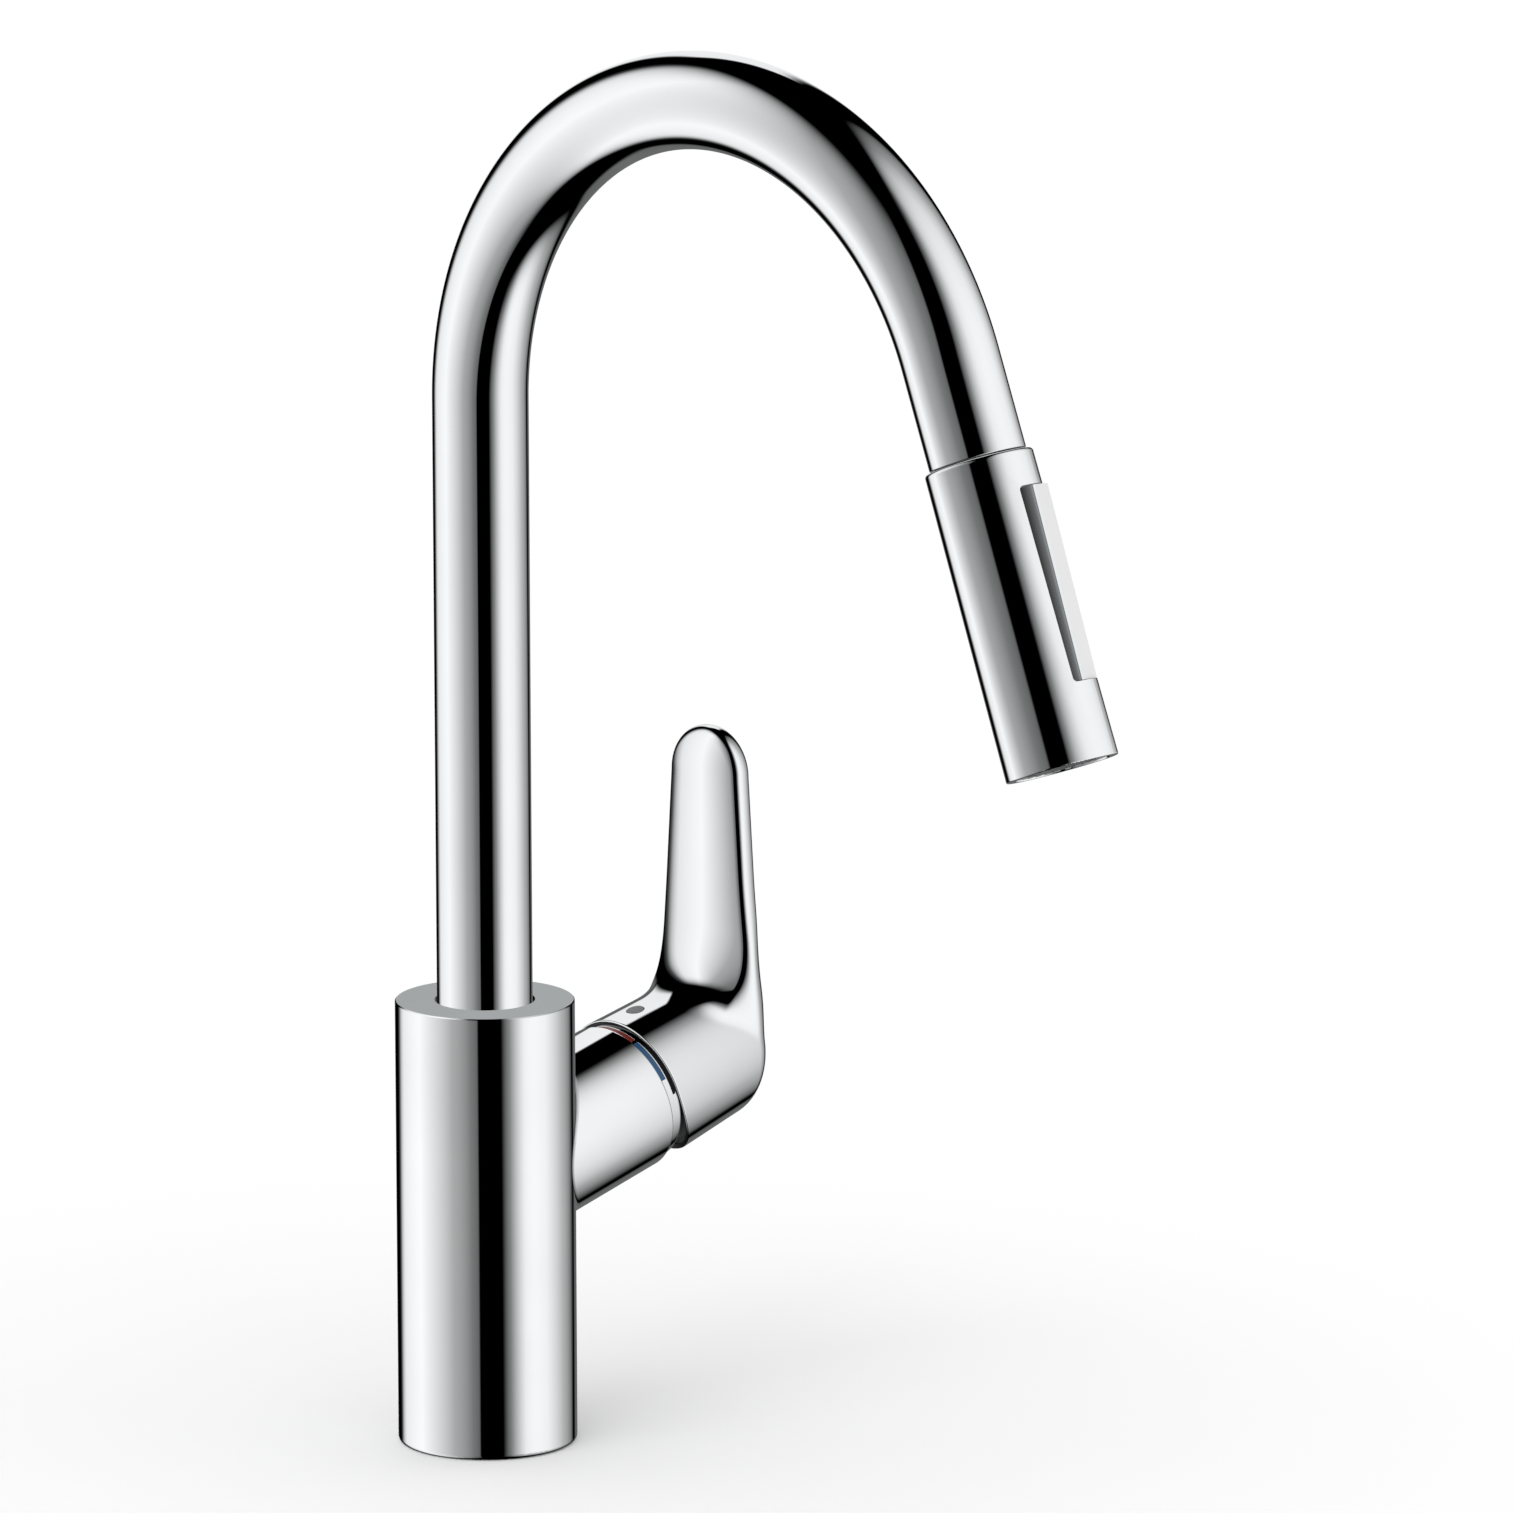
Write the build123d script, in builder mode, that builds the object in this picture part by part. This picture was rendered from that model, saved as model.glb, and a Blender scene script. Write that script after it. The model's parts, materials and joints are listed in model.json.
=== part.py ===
from build123d import *
from math import asin, cos, degrees, pi, radians, sin, tan
import os

os.makedirs("parts", exist_ok=True)

# A deck-mounted kitchen mixer with a high-arc spout, a pull-out spray head and a side lever.
# The origin is the centre of the base's underside on the worktop. The spout reaches towards -Y,
# and the handle arm stands out towards +X.

# Clearances
fit_gap = 0.05
seat_gap = 0.05
free_gap = 0.3

# Base body
body_radius = 25.0
body_height = 126.0
body_bottom_round = 1.5
body_top_chamfer = 0.3
body_wall = 4.5
spout_pocket_depth = 38.0
passage_gap = 1.25

# Handle arm, cast on the body and raised from level
arm_angle = 14.3
arm_drop = 50.1
arm_radius = 21.5
arm_reach = 28.7
arm_end_round = 0.8
arm_root_round = 2.0

# Fixing to the worktop
worktop_thickness = 30.0
shank_inset = 8.0
shank_wall = 2.0
shank_grip = 13.0
shank_reach = 70.0
shank_end_chamfer = 1.0
seal_margin = 2.8
seal_width = 3.4
seal_depth = 2.0
washer_overhang = 9.0
washer_thickness = 3.0
plate_thickness = 2.0
nut_overhang = 10.0
nut_thickness = 11.0
clamp_screw_radius = 2.5
clamp_screw_head_radius = 4.2
clamp_screw_head_height = 4.0
clamp_screw_count = 2

# Water ports in the underside of the block
block_drop = 25.9
port_circle = 10.7
port_radius = 3.5
port_depth = 12.0
port_angle = 60.0
channel_radius = 2.0

# Spout
spout_radius = 13.3
spout_wall = 1.3
arch_rise = 170.0
arch_radius = 92.9
arch_sweep = 158.6
nose_length = 28.2
bearing_gap = 0.7
swivel_angle = 75.0
swivel_margin = 0.5

# Spout foot and its bearing
thrust_thickness = 0.5
foot_height = 24.0
foot_wall = 4.8
spigot_length = 18.0
ring_height = 5.0
ring_groove_depth = 1.0
ring_edge_margin = 1.5
gap_ring_height = 6.0
gap_ring_drop = 1.5
stop_slot_height = 4.0
stop_slot_depth = 2.3
stop_screw_radius = 2.5
stop_dog_radius = 1.6
stop_screw_inset = 0.8
stop_key_radius = 1.3
stop_key_depth = 2.5

# Hose
hose_radius = 6.25
hose_bore_radius = 4.0
coupling_wall = 0.6
coupling_grip = 14.0
coupling_drop = 4.0
coupling_spigot_radius = 4.8
coupling_spigot_length = 10.0

# Hose end in the nose
sleeve_wall = 1.65
sleeve_length = 24.0
ferrule_wall = 1.1
ferrule_length = 13.5
ferrule_end_wall = 1.7
fitting_bore_radius = 2.6
fitting_neck_radius = 5.05
fitting_flange_inset = 0.4
fitting_flange_height = 3.6
hose_nut_wall = 2.0
hose_nut_height = 10.2

# Spray head
seam_gap = 0.5
head_length = 85.1
head_top_radius = 14.86
head_bottom_radius = 15.44
head_top_round = 1.0
head_bottom_round = 0.4
head_wall = 1.66
head_top_wall = 2.2
head_turn = 22.0
core_spigot_height = 3.5
core_inlet_wall = 1.95
core_inlet_floor = 1.55
core_waterway_radius = 3.5
chamber_wall = 1.4
chamber_height = 10.0
filter_thickness = 0.6
valve_length = 11.0
valve_seat_radius = 3.2

# Rocker button, with its levels counted down from the inside of the shell
window_start = 10.3
window_length = 54.0
window_half_width = 7.9
window_corner = 1.2
button_gap = 0.3
button_face_half_width = 4.4
button_face_rise = 2.02
button_edge_drop = 0.9
button_floor_drop = 1.3
button_flat_drop = 2.6
rocker_tilt = 1.1
rocker_pin_drop = 4.3
rocker_pin_radius = 1.1
rocker_pin_half_length = 8.2
lug_half_length = 3.9
lug_half_width = 5.4
lug_drop = 6.1
spool_distance = 17.3
spool_radius = 2.4
spool_foot = 4.0

# Outlet
face_thickness = 2.0
face_inset = 0.5
face_hub_length = 8.0
face_hub_wall = 0.95
aerator_radius = 8.0
aerator_wall = 1.0
mesh_thickness = 0.8
mesh_hole_radius = 0.55
mesh_pitch = 1.5
mesh_rings = 4
nozzle_circle = 11.1
nozzle_count = 24
nozzle_radius = 0.85
nozzle_reach = 0.3
nozzle_base_height = 1.75

# Cartridge
cartridge_radius = 17.4
cavity_depth = 30.7
nut_bore_step = 0.9
outlet_drop = 8.0
seal_ring_radius = 3.4
seal_ring_wall = 1.0
seal_ring_height = 1.2
base_thickness = 5.0
disc_thickness = 3.2
fixed_disc_gap = 0.7
moving_disc_gap = 0.8
moving_disc_recess = 7.5
moving_disc_recess_depth = 1.6
carrier_thickness = 4.0
carrier_floor = 0.8
housing_wall = 2.7
housing_end_wall = 3.0
housing_length = 21.0
driver_flange_thickness = 4.6
driver_neck_radius = 9.2
driver_neck_height = 3.4
pivot_drop = 1.1
pivot_pin_radius = 1.5
pivot_pin_half_length = 8.6
flow_angle = 24.0
stem_half_width = 4.0
stem_fork_gap = 0.15
stem_neck_radius = 2.6
stem_square_drop = 3.0
stem_grip = 14.0
ball_radius = 2.8
ball_distance = 9.4
nut_inner_radius = 12.5
nut_height = 3.0

# Index ring, cover ring and marks at the end of the arm
index_inner_radius = 15.8
index_inset = 0.85
index_height = 2.05
cover_ring_inset = 1.1
cover_ring_height = 2.35
cover_ring_round = 1.2
mark_depth = 1.25
mark_inset = 0.2
red_mark_start = -12.0
red_mark_size = 39.0
blue_mark_start = 30.0
blue_mark_size = 37.0

# Lever handle
rim_gap = 3.3
cap_overhang = 0.3
cap_taper = 0.75
cap_length = 38.9
cap_wall = 0.85
cap_inner_depth = 27.0
cap_inner_taper = 3.9
cap_relief_radius = 44.0
cap_relief_start = 5.0
handle_corner_round = 7.0
hub_radius = 8.0
hub_inset = 6.0
boss_radius = 4.6
plug_inset = 9.0
plug_radius = 2.5
plug_thickness = 1.2
screw_radius = 2.0
screw_length = 8.0
screw_key_radius = 1.15
screw_key_depth = 2.0
lever_length = 78.8
lever_root_inset = 2.0
lever_tip_radius = 13.6
lever_edge_round = 4.0
lever_crown_angle = 24.0
lever_root_round = 9.0

# Levels and radii that follow from the sizes above
shank_radius = body_radius - shank_inset
arm_length = body_radius + arm_reach
arm_height = body_height - arm_drop
block_underside = arm_height - block_drop
spout_pocket_floor = body_height - spout_pocket_depth
arch_start = body_height + arch_rise

# The arm: s runs outwards along its axis, and its upward normal stands square to that.
arm_direction = Vector(cos(radians(arm_angle)), 0, sin(radians(arm_angle)))
arm_upward = Vector(-sin(radians(arm_angle)), 0, cos(radians(arm_angle)))
arm_origin = Vector(0, 0, arm_height)
arm_axis = Axis(arm_origin, arm_direction)
arm_profile = Plane(origin=arm_origin, x_dir=arm_direction, z_dir=(0, -1, 0))


def arm_section(distance):
    """A plane across the arm, with local x along +Y and local y along the arm's upward normal."""
    return Plane(origin=arm_origin + arm_direction * distance, x_dir=(0, 1, 0), z_dir=arm_direction)


# The nose: t runs down and out along the spout's end, from the seam above the spray head.
nose_tilt = radians(180 - arch_sweep)
nose_direction = Vector(0, -sin(nose_tilt), -cos(nose_tilt))
arch_end = Vector(
    0,
    arch_radius * (cos(radians(arch_sweep)) - 1),
    arch_start + arch_radius * sin(radians(arch_sweep)),
)
seam = arch_end + nose_direction * nose_length
nose_front = Vector(0, -cos(nose_tilt), sin(nose_tilt))
button_side = nose_front * cos(radians(head_turn)) + Vector(sin(radians(head_turn)), 0, 0)
head_across = button_side.cross(nose_direction)
nose_axis = Axis(seam, nose_direction)
nose_profile = Plane(origin=seam, x_dir=button_side, z_dir=head_across)


def nose_section(distance):
    """A plane across the spray head, with local y towards the button."""
    return Plane(origin=seam + nose_direction * distance, x_dir=head_across, z_dir=nose_direction)


def button_level(height, distance=0.0):
    """A plane parallel to the head's axis at a height on the button's side, with local x along t."""
    centre = seam + button_side * height + nose_direction * distance
    return Plane(origin=centre, x_dir=nose_direction, z_dir=button_side)


def ring_sector(inner_radius, outer_radius, start_angle, arc_size):
    """A flat sector of a ring, as a sketch."""
    with BuildSketch() as made:
        with BuildLine():
            outer = CenterArc((0, 0), outer_radius, start_angle, arc_size)
            inner = CenterArc((0, 0), inner_radius, start_angle, arc_size)
            Line(outer @ 0, inner @ 0)
            Line(outer @ 1, inner @ 1)
        make_face()
    return made.sketch


# Base body

passage_radius = hose_radius + passage_gap
bearing_radius = spout_radius + bearing_gap
cavity_top_radius = body_radius - body_wall
cavity_floor = arm_length - cavity_depth
cavity_radius = cartridge_radius + free_gap
nut_bore_radius = cavity_radius + nut_bore_step
housing_start = cavity_floor + base_thickness + 2 * seat_gap
housing_end = housing_start + housing_length
inlet_reach = port_circle * cos(radians(port_angle))
inlet_spread = port_circle * sin(radians(port_angle))
port_top = block_underside + port_depth
inlet_run = inlet_reach / cos(radians(arm_angle))
inlet_rise = arm_height + inlet_run * sin(radians(arm_angle))
outlet_run = (port_circle - outlet_drop * sin(radians(arm_angle))) / cos(radians(arm_angle))
outlet_rise = arm_height + outlet_run * sin(radians(arm_angle)) - outlet_drop * cos(radians(arm_angle))
foot_bottom = spout_pocket_floor + thrust_thickness + 2 * seat_gap
foot_top = foot_bottom + foot_height
stop_height = foot_bottom + foot_height / 2
slot_floor_radius = spout_radius - stop_slot_depth
seal_outer_radius = body_radius - seal_margin
seal_inner_radius = seal_outer_radius - seal_width

with BuildPart() as base_body:
    with BuildSketch():
        Circle(body_radius)
    extrude(amount=body_height)
    with BuildSketch(arm_section(0)):
        Circle(arm_radius)
    extrude(amount=arm_length)
    fillet(base_body.edges().filter_by(GeomType.BSPLINE), arm_root_round)
    fillet(base_body.edges().filter_by(GeomType.CIRCLE).sort_by(arm_axis)[-1], arm_end_round)
    fillet(base_body.edges().filter_by(GeomType.CIRCLE).sort_by(Axis.Z)[0], body_bottom_round)
    chamfer(base_body.faces().sort_by(Axis.Z)[-1].edges(), body_top_chamfer)

    # socket for the shank, cavity for the hoses, hose passage and spout pocket
    with BuildSketch():
        Circle(shank_radius + fit_gap)
    extrude(amount=shank_grip, mode=Mode.SUBTRACT)
    with BuildSketch(Plane.XY.offset(shank_grip)):
        Circle(cavity_top_radius)
    extrude(amount=block_underside - shank_grip, mode=Mode.SUBTRACT)
    with BuildSketch(Plane.XY.offset(block_underside)):
        Circle(passage_radius)
    extrude(amount=spout_pocket_floor - block_underside, mode=Mode.SUBTRACT)
    with BuildSketch(Plane.XY.offset(spout_pocket_floor)):
        Circle(bearing_radius)
    extrude(amount=spout_pocket_depth, mode=Mode.SUBTRACT)

    # groove for the base seal
    with BuildSketch():
        Circle(seal_outer_radius)
        Circle(seal_inner_radius, mode=Mode.SUBTRACT)
    extrude(amount=seal_depth, mode=Mode.SUBTRACT)

    # cavity of the cartridge and the bore of its nut
    with BuildSketch(arm_section(cavity_floor)):
        Circle(cavity_radius)
    extrude(amount=cavity_depth, mode=Mode.SUBTRACT)
    with BuildSketch(arm_section(housing_end)):
        Circle(nut_bore_radius)
    extrude(amount=arm_length - housing_end, mode=Mode.SUBTRACT)

    # threaded ports and the channels from them to the cartridge
    with BuildSketch(Plane.XY.offset(block_underside)):
        with Locations((port_circle, 0), (inlet_reach, inlet_spread), (inlet_reach, -inlet_spread)):
            Circle(port_radius)
    extrude(amount=port_depth, mode=Mode.SUBTRACT)
    with BuildSketch(Plane.XY.offset(port_top)):
        with Locations((inlet_reach, inlet_spread), (inlet_reach, -inlet_spread)):
            Circle(channel_radius)
    extrude(amount=inlet_rise - port_top, mode=Mode.SUBTRACT)
    with BuildSketch(Plane.XY.offset(port_top)):
        with Locations((port_circle, 0)):
            Circle(channel_radius)
    extrude(amount=outlet_rise - port_top, mode=Mode.SUBTRACT)
    with BuildSketch(arm_section(inlet_run)):
        with Locations((inlet_spread, 0), (-inlet_spread, 0)):
            Circle(channel_radius)
    extrude(amount=cavity_floor - inlet_run, mode=Mode.SUBTRACT)
    with BuildSketch(arm_section(outlet_run)):
        with Locations((0, -outlet_drop)):
            Circle(channel_radius)
    extrude(amount=cavity_floor - outlet_run, mode=Mode.SUBTRACT)

    # threaded hole at the back for the screw that holds the spout and stops its swivel
    with BuildSketch(Plane(origin=(0, body_radius, stop_height), x_dir=(1, 0, 0), z_dir=(0, -1, 0))):
        Circle(stop_screw_radius + fit_gap)
    extrude(amount=body_radius - bearing_radius / 2, mode=Mode.SUBTRACT)


# Fixing to the worktop

plate_top = -worktop_thickness - washer_thickness - seat_gap
nut_top = plate_top - plate_thickness - seat_gap
nut_corner_radius = shank_radius + nut_overhang
nut_bottom = nut_top - nut_thickness
screw_places = PolarLocations((shank_radius + nut_corner_radius) / 2, clamp_screw_count)

with BuildPart() as base_seal:
    with BuildSketch():
        Circle(seal_outer_radius - fit_gap)
        Circle(seal_inner_radius + fit_gap, mode=Mode.SUBTRACT)
    extrude(amount=seal_depth - seat_gap)

with BuildPart() as threaded_shank:
    with BuildSketch(Plane.XY.offset(-shank_reach)):
        Circle(shank_radius)
        Circle(shank_radius - shank_wall, mode=Mode.SUBTRACT)
    extrude(amount=shank_reach + shank_grip)
    chamfer(threaded_shank.edges().group_by(Axis.Z)[0].sort_by(SortBy.RADIUS)[-1], shank_end_chamfer)

with BuildPart() as worktop_washer:
    with BuildSketch(Plane.XY.offset(-worktop_thickness)):
        Circle(shank_radius + washer_overhang)
        Circle(shank_radius + free_gap, mode=Mode.SUBTRACT)
    extrude(amount=-washer_thickness)

with BuildPart() as clamp_plate:
    with BuildSketch(Plane.XY.offset(plate_top)):
        Circle(shank_radius + washer_overhang)
        Circle(shank_radius + free_gap, mode=Mode.SUBTRACT)
    extrude(amount=-plate_thickness)

with BuildPart() as shank_nut:
    with BuildSketch(Plane.XY.offset(nut_top)):
        RegularPolygon(nut_corner_radius, 6)
        Circle(shank_radius + fit_gap, mode=Mode.SUBTRACT)
        with screw_places:
            Circle(clamp_screw_radius + fit_gap, mode=Mode.SUBTRACT)
    extrude(amount=-nut_thickness)

with BuildPart() as clamp_screws:
    with BuildSketch(Plane.XY.offset(nut_top)):
        with screw_places:
            Circle(clamp_screw_radius)
    extrude(amount=-nut_thickness - clamp_screw_head_height)
    with BuildSketch(Plane.XY.offset(nut_bottom - seat_gap)):
        with screw_places:
            RegularPolygon(clamp_screw_head_radius, 6)
    extrude(amount=-clamp_screw_head_height)


# Bearing of the spout in the base

stop_plane = Plane(
    origin=(0, body_radius - stop_screw_inset, stop_height), x_dir=(1, 0, 0), z_dir=(0, -1, 0)
)

with BuildPart() as gap_ring:
    with BuildSketch(Plane.XY.offset(body_height - gap_ring_drop)):
        Circle(bearing_radius - fit_gap)
        Circle(spout_radius + fit_gap, mode=Mode.SUBTRACT)
    extrude(amount=-gap_ring_height)

with BuildPart() as thrust_washer:
    with BuildSketch(Plane.XY.offset(spout_pocket_floor + seat_gap)):
        Circle(bearing_radius - fit_gap)
        Circle(spout_radius - foot_wall, mode=Mode.SUBTRACT)
    extrude(amount=thrust_thickness)

with BuildPart() as swivel_stop_screw:
    with BuildSketch(stop_plane):
        Circle(stop_screw_radius)
    extrude(amount=body_radius - stop_screw_inset - bearing_radius - free_gap)
    with BuildSketch(stop_plane):
        Circle(stop_dog_radius)
    extrude(amount=body_radius - stop_screw_inset - slot_floor_radius - free_gap)
    with BuildSketch(stop_plane):
        RegularPolygon(stop_key_radius, 6)
    extrude(amount=stop_key_depth, mode=Mode.SUBTRACT)


# Spout

slot_half_angle = swivel_angle + swivel_margin + degrees(asin(stop_dog_radius / slot_floor_radius))
groove_radius = spout_radius - ring_groove_depth
spout_bore_radius = spout_radius - spout_wall
foot_bore_radius = spout_radius - foot_wall
ring_levels = (foot_bottom + ring_edge_margin, foot_top - ring_edge_margin - ring_height)
tube_bottom = foot_top + seat_gap

with BuildPart() as spout_foot:
    with BuildSketch(Plane.XY.offset(foot_bottom)):
        Circle(spout_radius)
        Circle(foot_bore_radius, mode=Mode.SUBTRACT)
    extrude(amount=foot_height)
    with BuildSketch(Plane.XY.offset(foot_top)):
        Circle(spout_bore_radius - fit_gap)
        Circle(foot_bore_radius, mode=Mode.SUBTRACT)
    extrude(amount=spigot_length)
    for level in ring_levels:
        with BuildSketch(Plane.XY.offset(level)):
            Circle(spout_radius)
            Circle(groove_radius, mode=Mode.SUBTRACT)
        extrude(amount=ring_height, mode=Mode.SUBTRACT)
    with BuildSketch(Plane.XY.offset(stop_height - stop_slot_height / 2)):
        add(ring_sector(slot_floor_radius, bearing_radius, 90 - slot_half_angle, 2 * slot_half_angle))
    extrude(amount=stop_slot_height, mode=Mode.SUBTRACT)

with BuildPart() as slide_rings:
    for level in ring_levels:
        with BuildSketch(Plane.XY.offset(level + seat_gap)):
            Circle(bearing_radius - fit_gap)
            Circle(groove_radius + fit_gap, mode=Mode.SUBTRACT)
        extrude(amount=ring_height - 2 * seat_gap)


def spout_line(bottom, past_seam):
    """The centreline of the spout, from a level on the axis of the body to a distance past the seam."""
    with BuildLine(Plane.YZ) as made:
        Line((0, bottom), (0, arch_start))
        arch = CenterArc((-arch_radius, arch_start), arch_radius, 0, arch_sweep)
        Line(arch @ 1, arch @ 1 + arch % 1 * (nose_length + past_seam))
    return made.line


with BuildPart() as spout_tube:
    with BuildSketch(Plane.XY.offset(tube_bottom)):
        Circle(spout_radius)
        Circle(spout_bore_radius, mode=Mode.SUBTRACT)
    sweep(path=spout_line(tube_bottom, -seam_gap / 2))

with BuildPart() as docking_sleeve:
    with BuildSketch(nose_section(-seam_gap / 2)):
        Circle(spout_bore_radius - fit_gap)
        Circle(spout_bore_radius - sleeve_wall, mode=Mode.SUBTRACT)
    extrude(amount=-sleeve_length)


# Hose and its end fittings

hose_nut_radius = spout_bore_radius - sleeve_wall - free_gap
core_spigot_radius = hose_nut_radius - hose_nut_wall
flange_radius = core_spigot_radius - fitting_flange_inset
barb_radius = hose_bore_radius - fit_gap
grip_radius = hose_radius + fit_gap
ferrule_start = -nose_length + free_gap
ferrule_end = ferrule_start + ferrule_length
flange_bottom = -core_spigot_height - free_gap
flange_top = flange_bottom - fitting_flange_height
hose_end = ferrule_end - ferrule_end_wall - seat_gap
coupling_top = -shank_reach - coupling_drop
coupling_end = coupling_top - coupling_grip
coupling_shoulder = coupling_end + ferrule_end_wall
hose_start = coupling_shoulder + seat_gap

with BuildPart() as pull_out_hose:
    with BuildSketch(Plane.XY.offset(hose_start)):
        Circle(hose_radius)
        Circle(hose_bore_radius, mode=Mode.SUBTRACT)
    sweep(path=spout_line(hose_start, hose_end))

with BuildPart() as hose_coupling:
    with BuildSketch(Plane.XZ):
        with BuildLine():
            Polyline(
                (fitting_bore_radius, coupling_end - coupling_spigot_length),
                (coupling_spigot_radius, coupling_end - coupling_spigot_length),
                (coupling_spigot_radius, coupling_end),
                (grip_radius + coupling_wall, coupling_end),
                (grip_radius + coupling_wall, coupling_top),
                (grip_radius, coupling_top),
                (grip_radius, coupling_shoulder),
                (barb_radius, coupling_shoulder),
                (barb_radius, coupling_top),
                (fitting_bore_radius, coupling_top),
                close=True,
            )
        make_face()
    revolve(axis=Axis.Z)

with BuildPart() as hose_end_fitting:
    with BuildSketch(nose_profile):
        with BuildLine():
            Polyline(
                (fitting_bore_radius, ferrule_start),
                (barb_radius, ferrule_start),
                (barb_radius, ferrule_end - ferrule_end_wall),
                (grip_radius, ferrule_end - ferrule_end_wall),
                (grip_radius, ferrule_start),
                (grip_radius + ferrule_wall, ferrule_start),
                (grip_radius + ferrule_wall, ferrule_end),
                (fitting_neck_radius, ferrule_end),
                (fitting_neck_radius, flange_top),
                (flange_radius, flange_top),
                (flange_radius, flange_bottom),
                (fitting_bore_radius, flange_bottom),
                close=True,
            )
        make_face()
    revolve(axis=nose_axis)


# Spray head

head_start = seam_gap / 2
pivot_distance = window_start + window_length / 2
spool_place = pivot_distance - spool_distance
head_inner_radius = head_top_radius - head_wall
core_radius = head_inner_radius - fit_gap
core_start = head_start + head_top_wall + seat_gap
spigot_end = filter_thickness - core_spigot_height
core_inlet_radius = core_spigot_radius - core_inlet_wall
core_inlet_end = spool_place - spool_radius - fit_gap - core_inlet_floor
face_end = head_length - face_inset
face_start = face_end - face_thickness
nozzle_base_start = face_start - seat_gap - nozzle_base_height
core_end = nozzle_base_start - seat_gap
hub_outer_radius = aerator_radius + fit_gap + face_hub_wall

with BuildPart() as hose_nut:
    with BuildSketch(nose_profile):
        with BuildLine():
            Polyline(
                (fitting_neck_radius + fit_gap, -free_gap - hose_nut_height),
                (hose_nut_radius, -free_gap - hose_nut_height),
                (hose_nut_radius, -free_gap),
                (core_spigot_radius + fit_gap, -free_gap),
                (core_spigot_radius + fit_gap, flange_top - fit_gap),
                (fitting_neck_radius + fit_gap, flange_top - fit_gap),
                close=True,
            )
        make_face()
    revolve(axis=nose_axis)

with BuildPart() as filter_washer:
    with BuildSketch(nose_section(spigot_end - seat_gap)):
        Circle(core_spigot_radius - fit_gap)
        Circle(hose_bore_radius, mode=Mode.SUBTRACT)
    extrude(amount=seat_gap - filter_thickness)

with BuildPart() as check_valve:
    with BuildSketch(nose_section(core_inlet_end - seat_gap)):
        Circle(core_inlet_radius - fit_gap)
        Circle(valve_seat_radius, mode=Mode.SUBTRACT)
    extrude(amount=-valve_length)

with BuildPart() as head_shell:
    with BuildSketch(nose_profile):
        with BuildLine():
            Polyline(
                (core_spigot_radius + free_gap, head_start),
                (head_top_radius, head_start),
                (head_bottom_radius, head_length),
                (head_inner_radius, head_length),
                (head_inner_radius, head_start + head_top_wall),
                (core_spigot_radius + free_gap, head_start + head_top_wall),
                close=True,
            )
        make_face()
    revolve(axis=nose_axis)
    top_rims = head_shell.edges().filter_by(GeomType.CIRCLE).group_by(nose_axis)[0]
    bottom_rims = head_shell.edges().filter_by(GeomType.CIRCLE).group_by(nose_axis)[-1]
    fillet(top_rims.sort_by(SortBy.RADIUS)[-1], head_top_round)
    fillet(bottom_rims.sort_by(SortBy.RADIUS)[-1], head_bottom_round)
    with BuildSketch(button_level(0, window_start + window_length / 2)):
        RectangleRounded(window_length, 2 * window_half_width, window_corner)
    extrude(amount=2 * head_bottom_radius, mode=Mode.SUBTRACT)


# Rocker button and diverter

pin_height = head_inner_radius - rocker_pin_drop
flat_height = head_inner_radius - button_flat_drop
lug_height = head_inner_radius - lug_drop
pin_centre = seam + nose_direction * pivot_distance + button_side * pin_height
pin_plane = Plane(origin=pin_centre, x_dir=nose_direction, z_dir=head_across)
tilt = radians(rocker_tilt)
rocker_along = nose_direction * cos(tilt) - button_side * sin(tilt)
rocker_out = button_side * cos(tilt) + nose_direction * sin(tilt)
rocker_section = Plane(origin=pin_centre, x_dir=head_across, z_dir=rocker_along)
rocker_level = Plane(origin=pin_centre, x_dir=rocker_along, z_dir=rocker_out)
plate_floor = rocker_pin_drop - button_floor_drop
plate_edge = rocker_pin_drop - button_edge_drop
plate_face = rocker_pin_drop + button_face_rise
plate_half_width = window_half_width - button_gap
plate_length = window_length - 2 * button_gap

with BuildPart() as head_core:
    with BuildSketch(nose_profile):
        with BuildLine():
            Polyline(
                (core_inlet_radius, spigot_end),
                (core_spigot_radius, spigot_end),
                (core_spigot_radius, core_start),
                (core_radius, core_start),
                (core_radius, core_end),
                (head_inner_radius - chamber_wall, core_end),
                (head_inner_radius - chamber_wall, core_end - chamber_height),
                (core_waterway_radius, core_end - chamber_height),
                (core_waterway_radius, core_inlet_end),
                (core_inlet_radius, core_inlet_end),
                close=True,
            )
        make_face()
    revolve(axis=nose_axis)
    # flat under the button, pocket for its lug, holes for its pin and for the spool
    with BuildSketch(button_level(flat_height, pivot_distance)):
        Rectangle(window_length + 2 * button_gap, 2 * head_inner_radius)
    extrude(amount=head_inner_radius, mode=Mode.SUBTRACT)
    with BuildSketch(button_level(lug_height - 2 * button_gap, pivot_distance)):
        Rectangle(2 * (lug_half_length + 2 * button_gap), 2 * (lug_half_width + button_gap))
    extrude(amount=head_inner_radius, mode=Mode.SUBTRACT)
    with BuildSketch(pin_plane):
        Circle(rocker_pin_radius + fit_gap)
    extrude(amount=head_inner_radius, both=True, mode=Mode.SUBTRACT)
    with BuildSketch(button_level(0, spool_place)):
        Circle(spool_radius + fit_gap)
    extrude(amount=head_inner_radius, mode=Mode.SUBTRACT)

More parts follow.
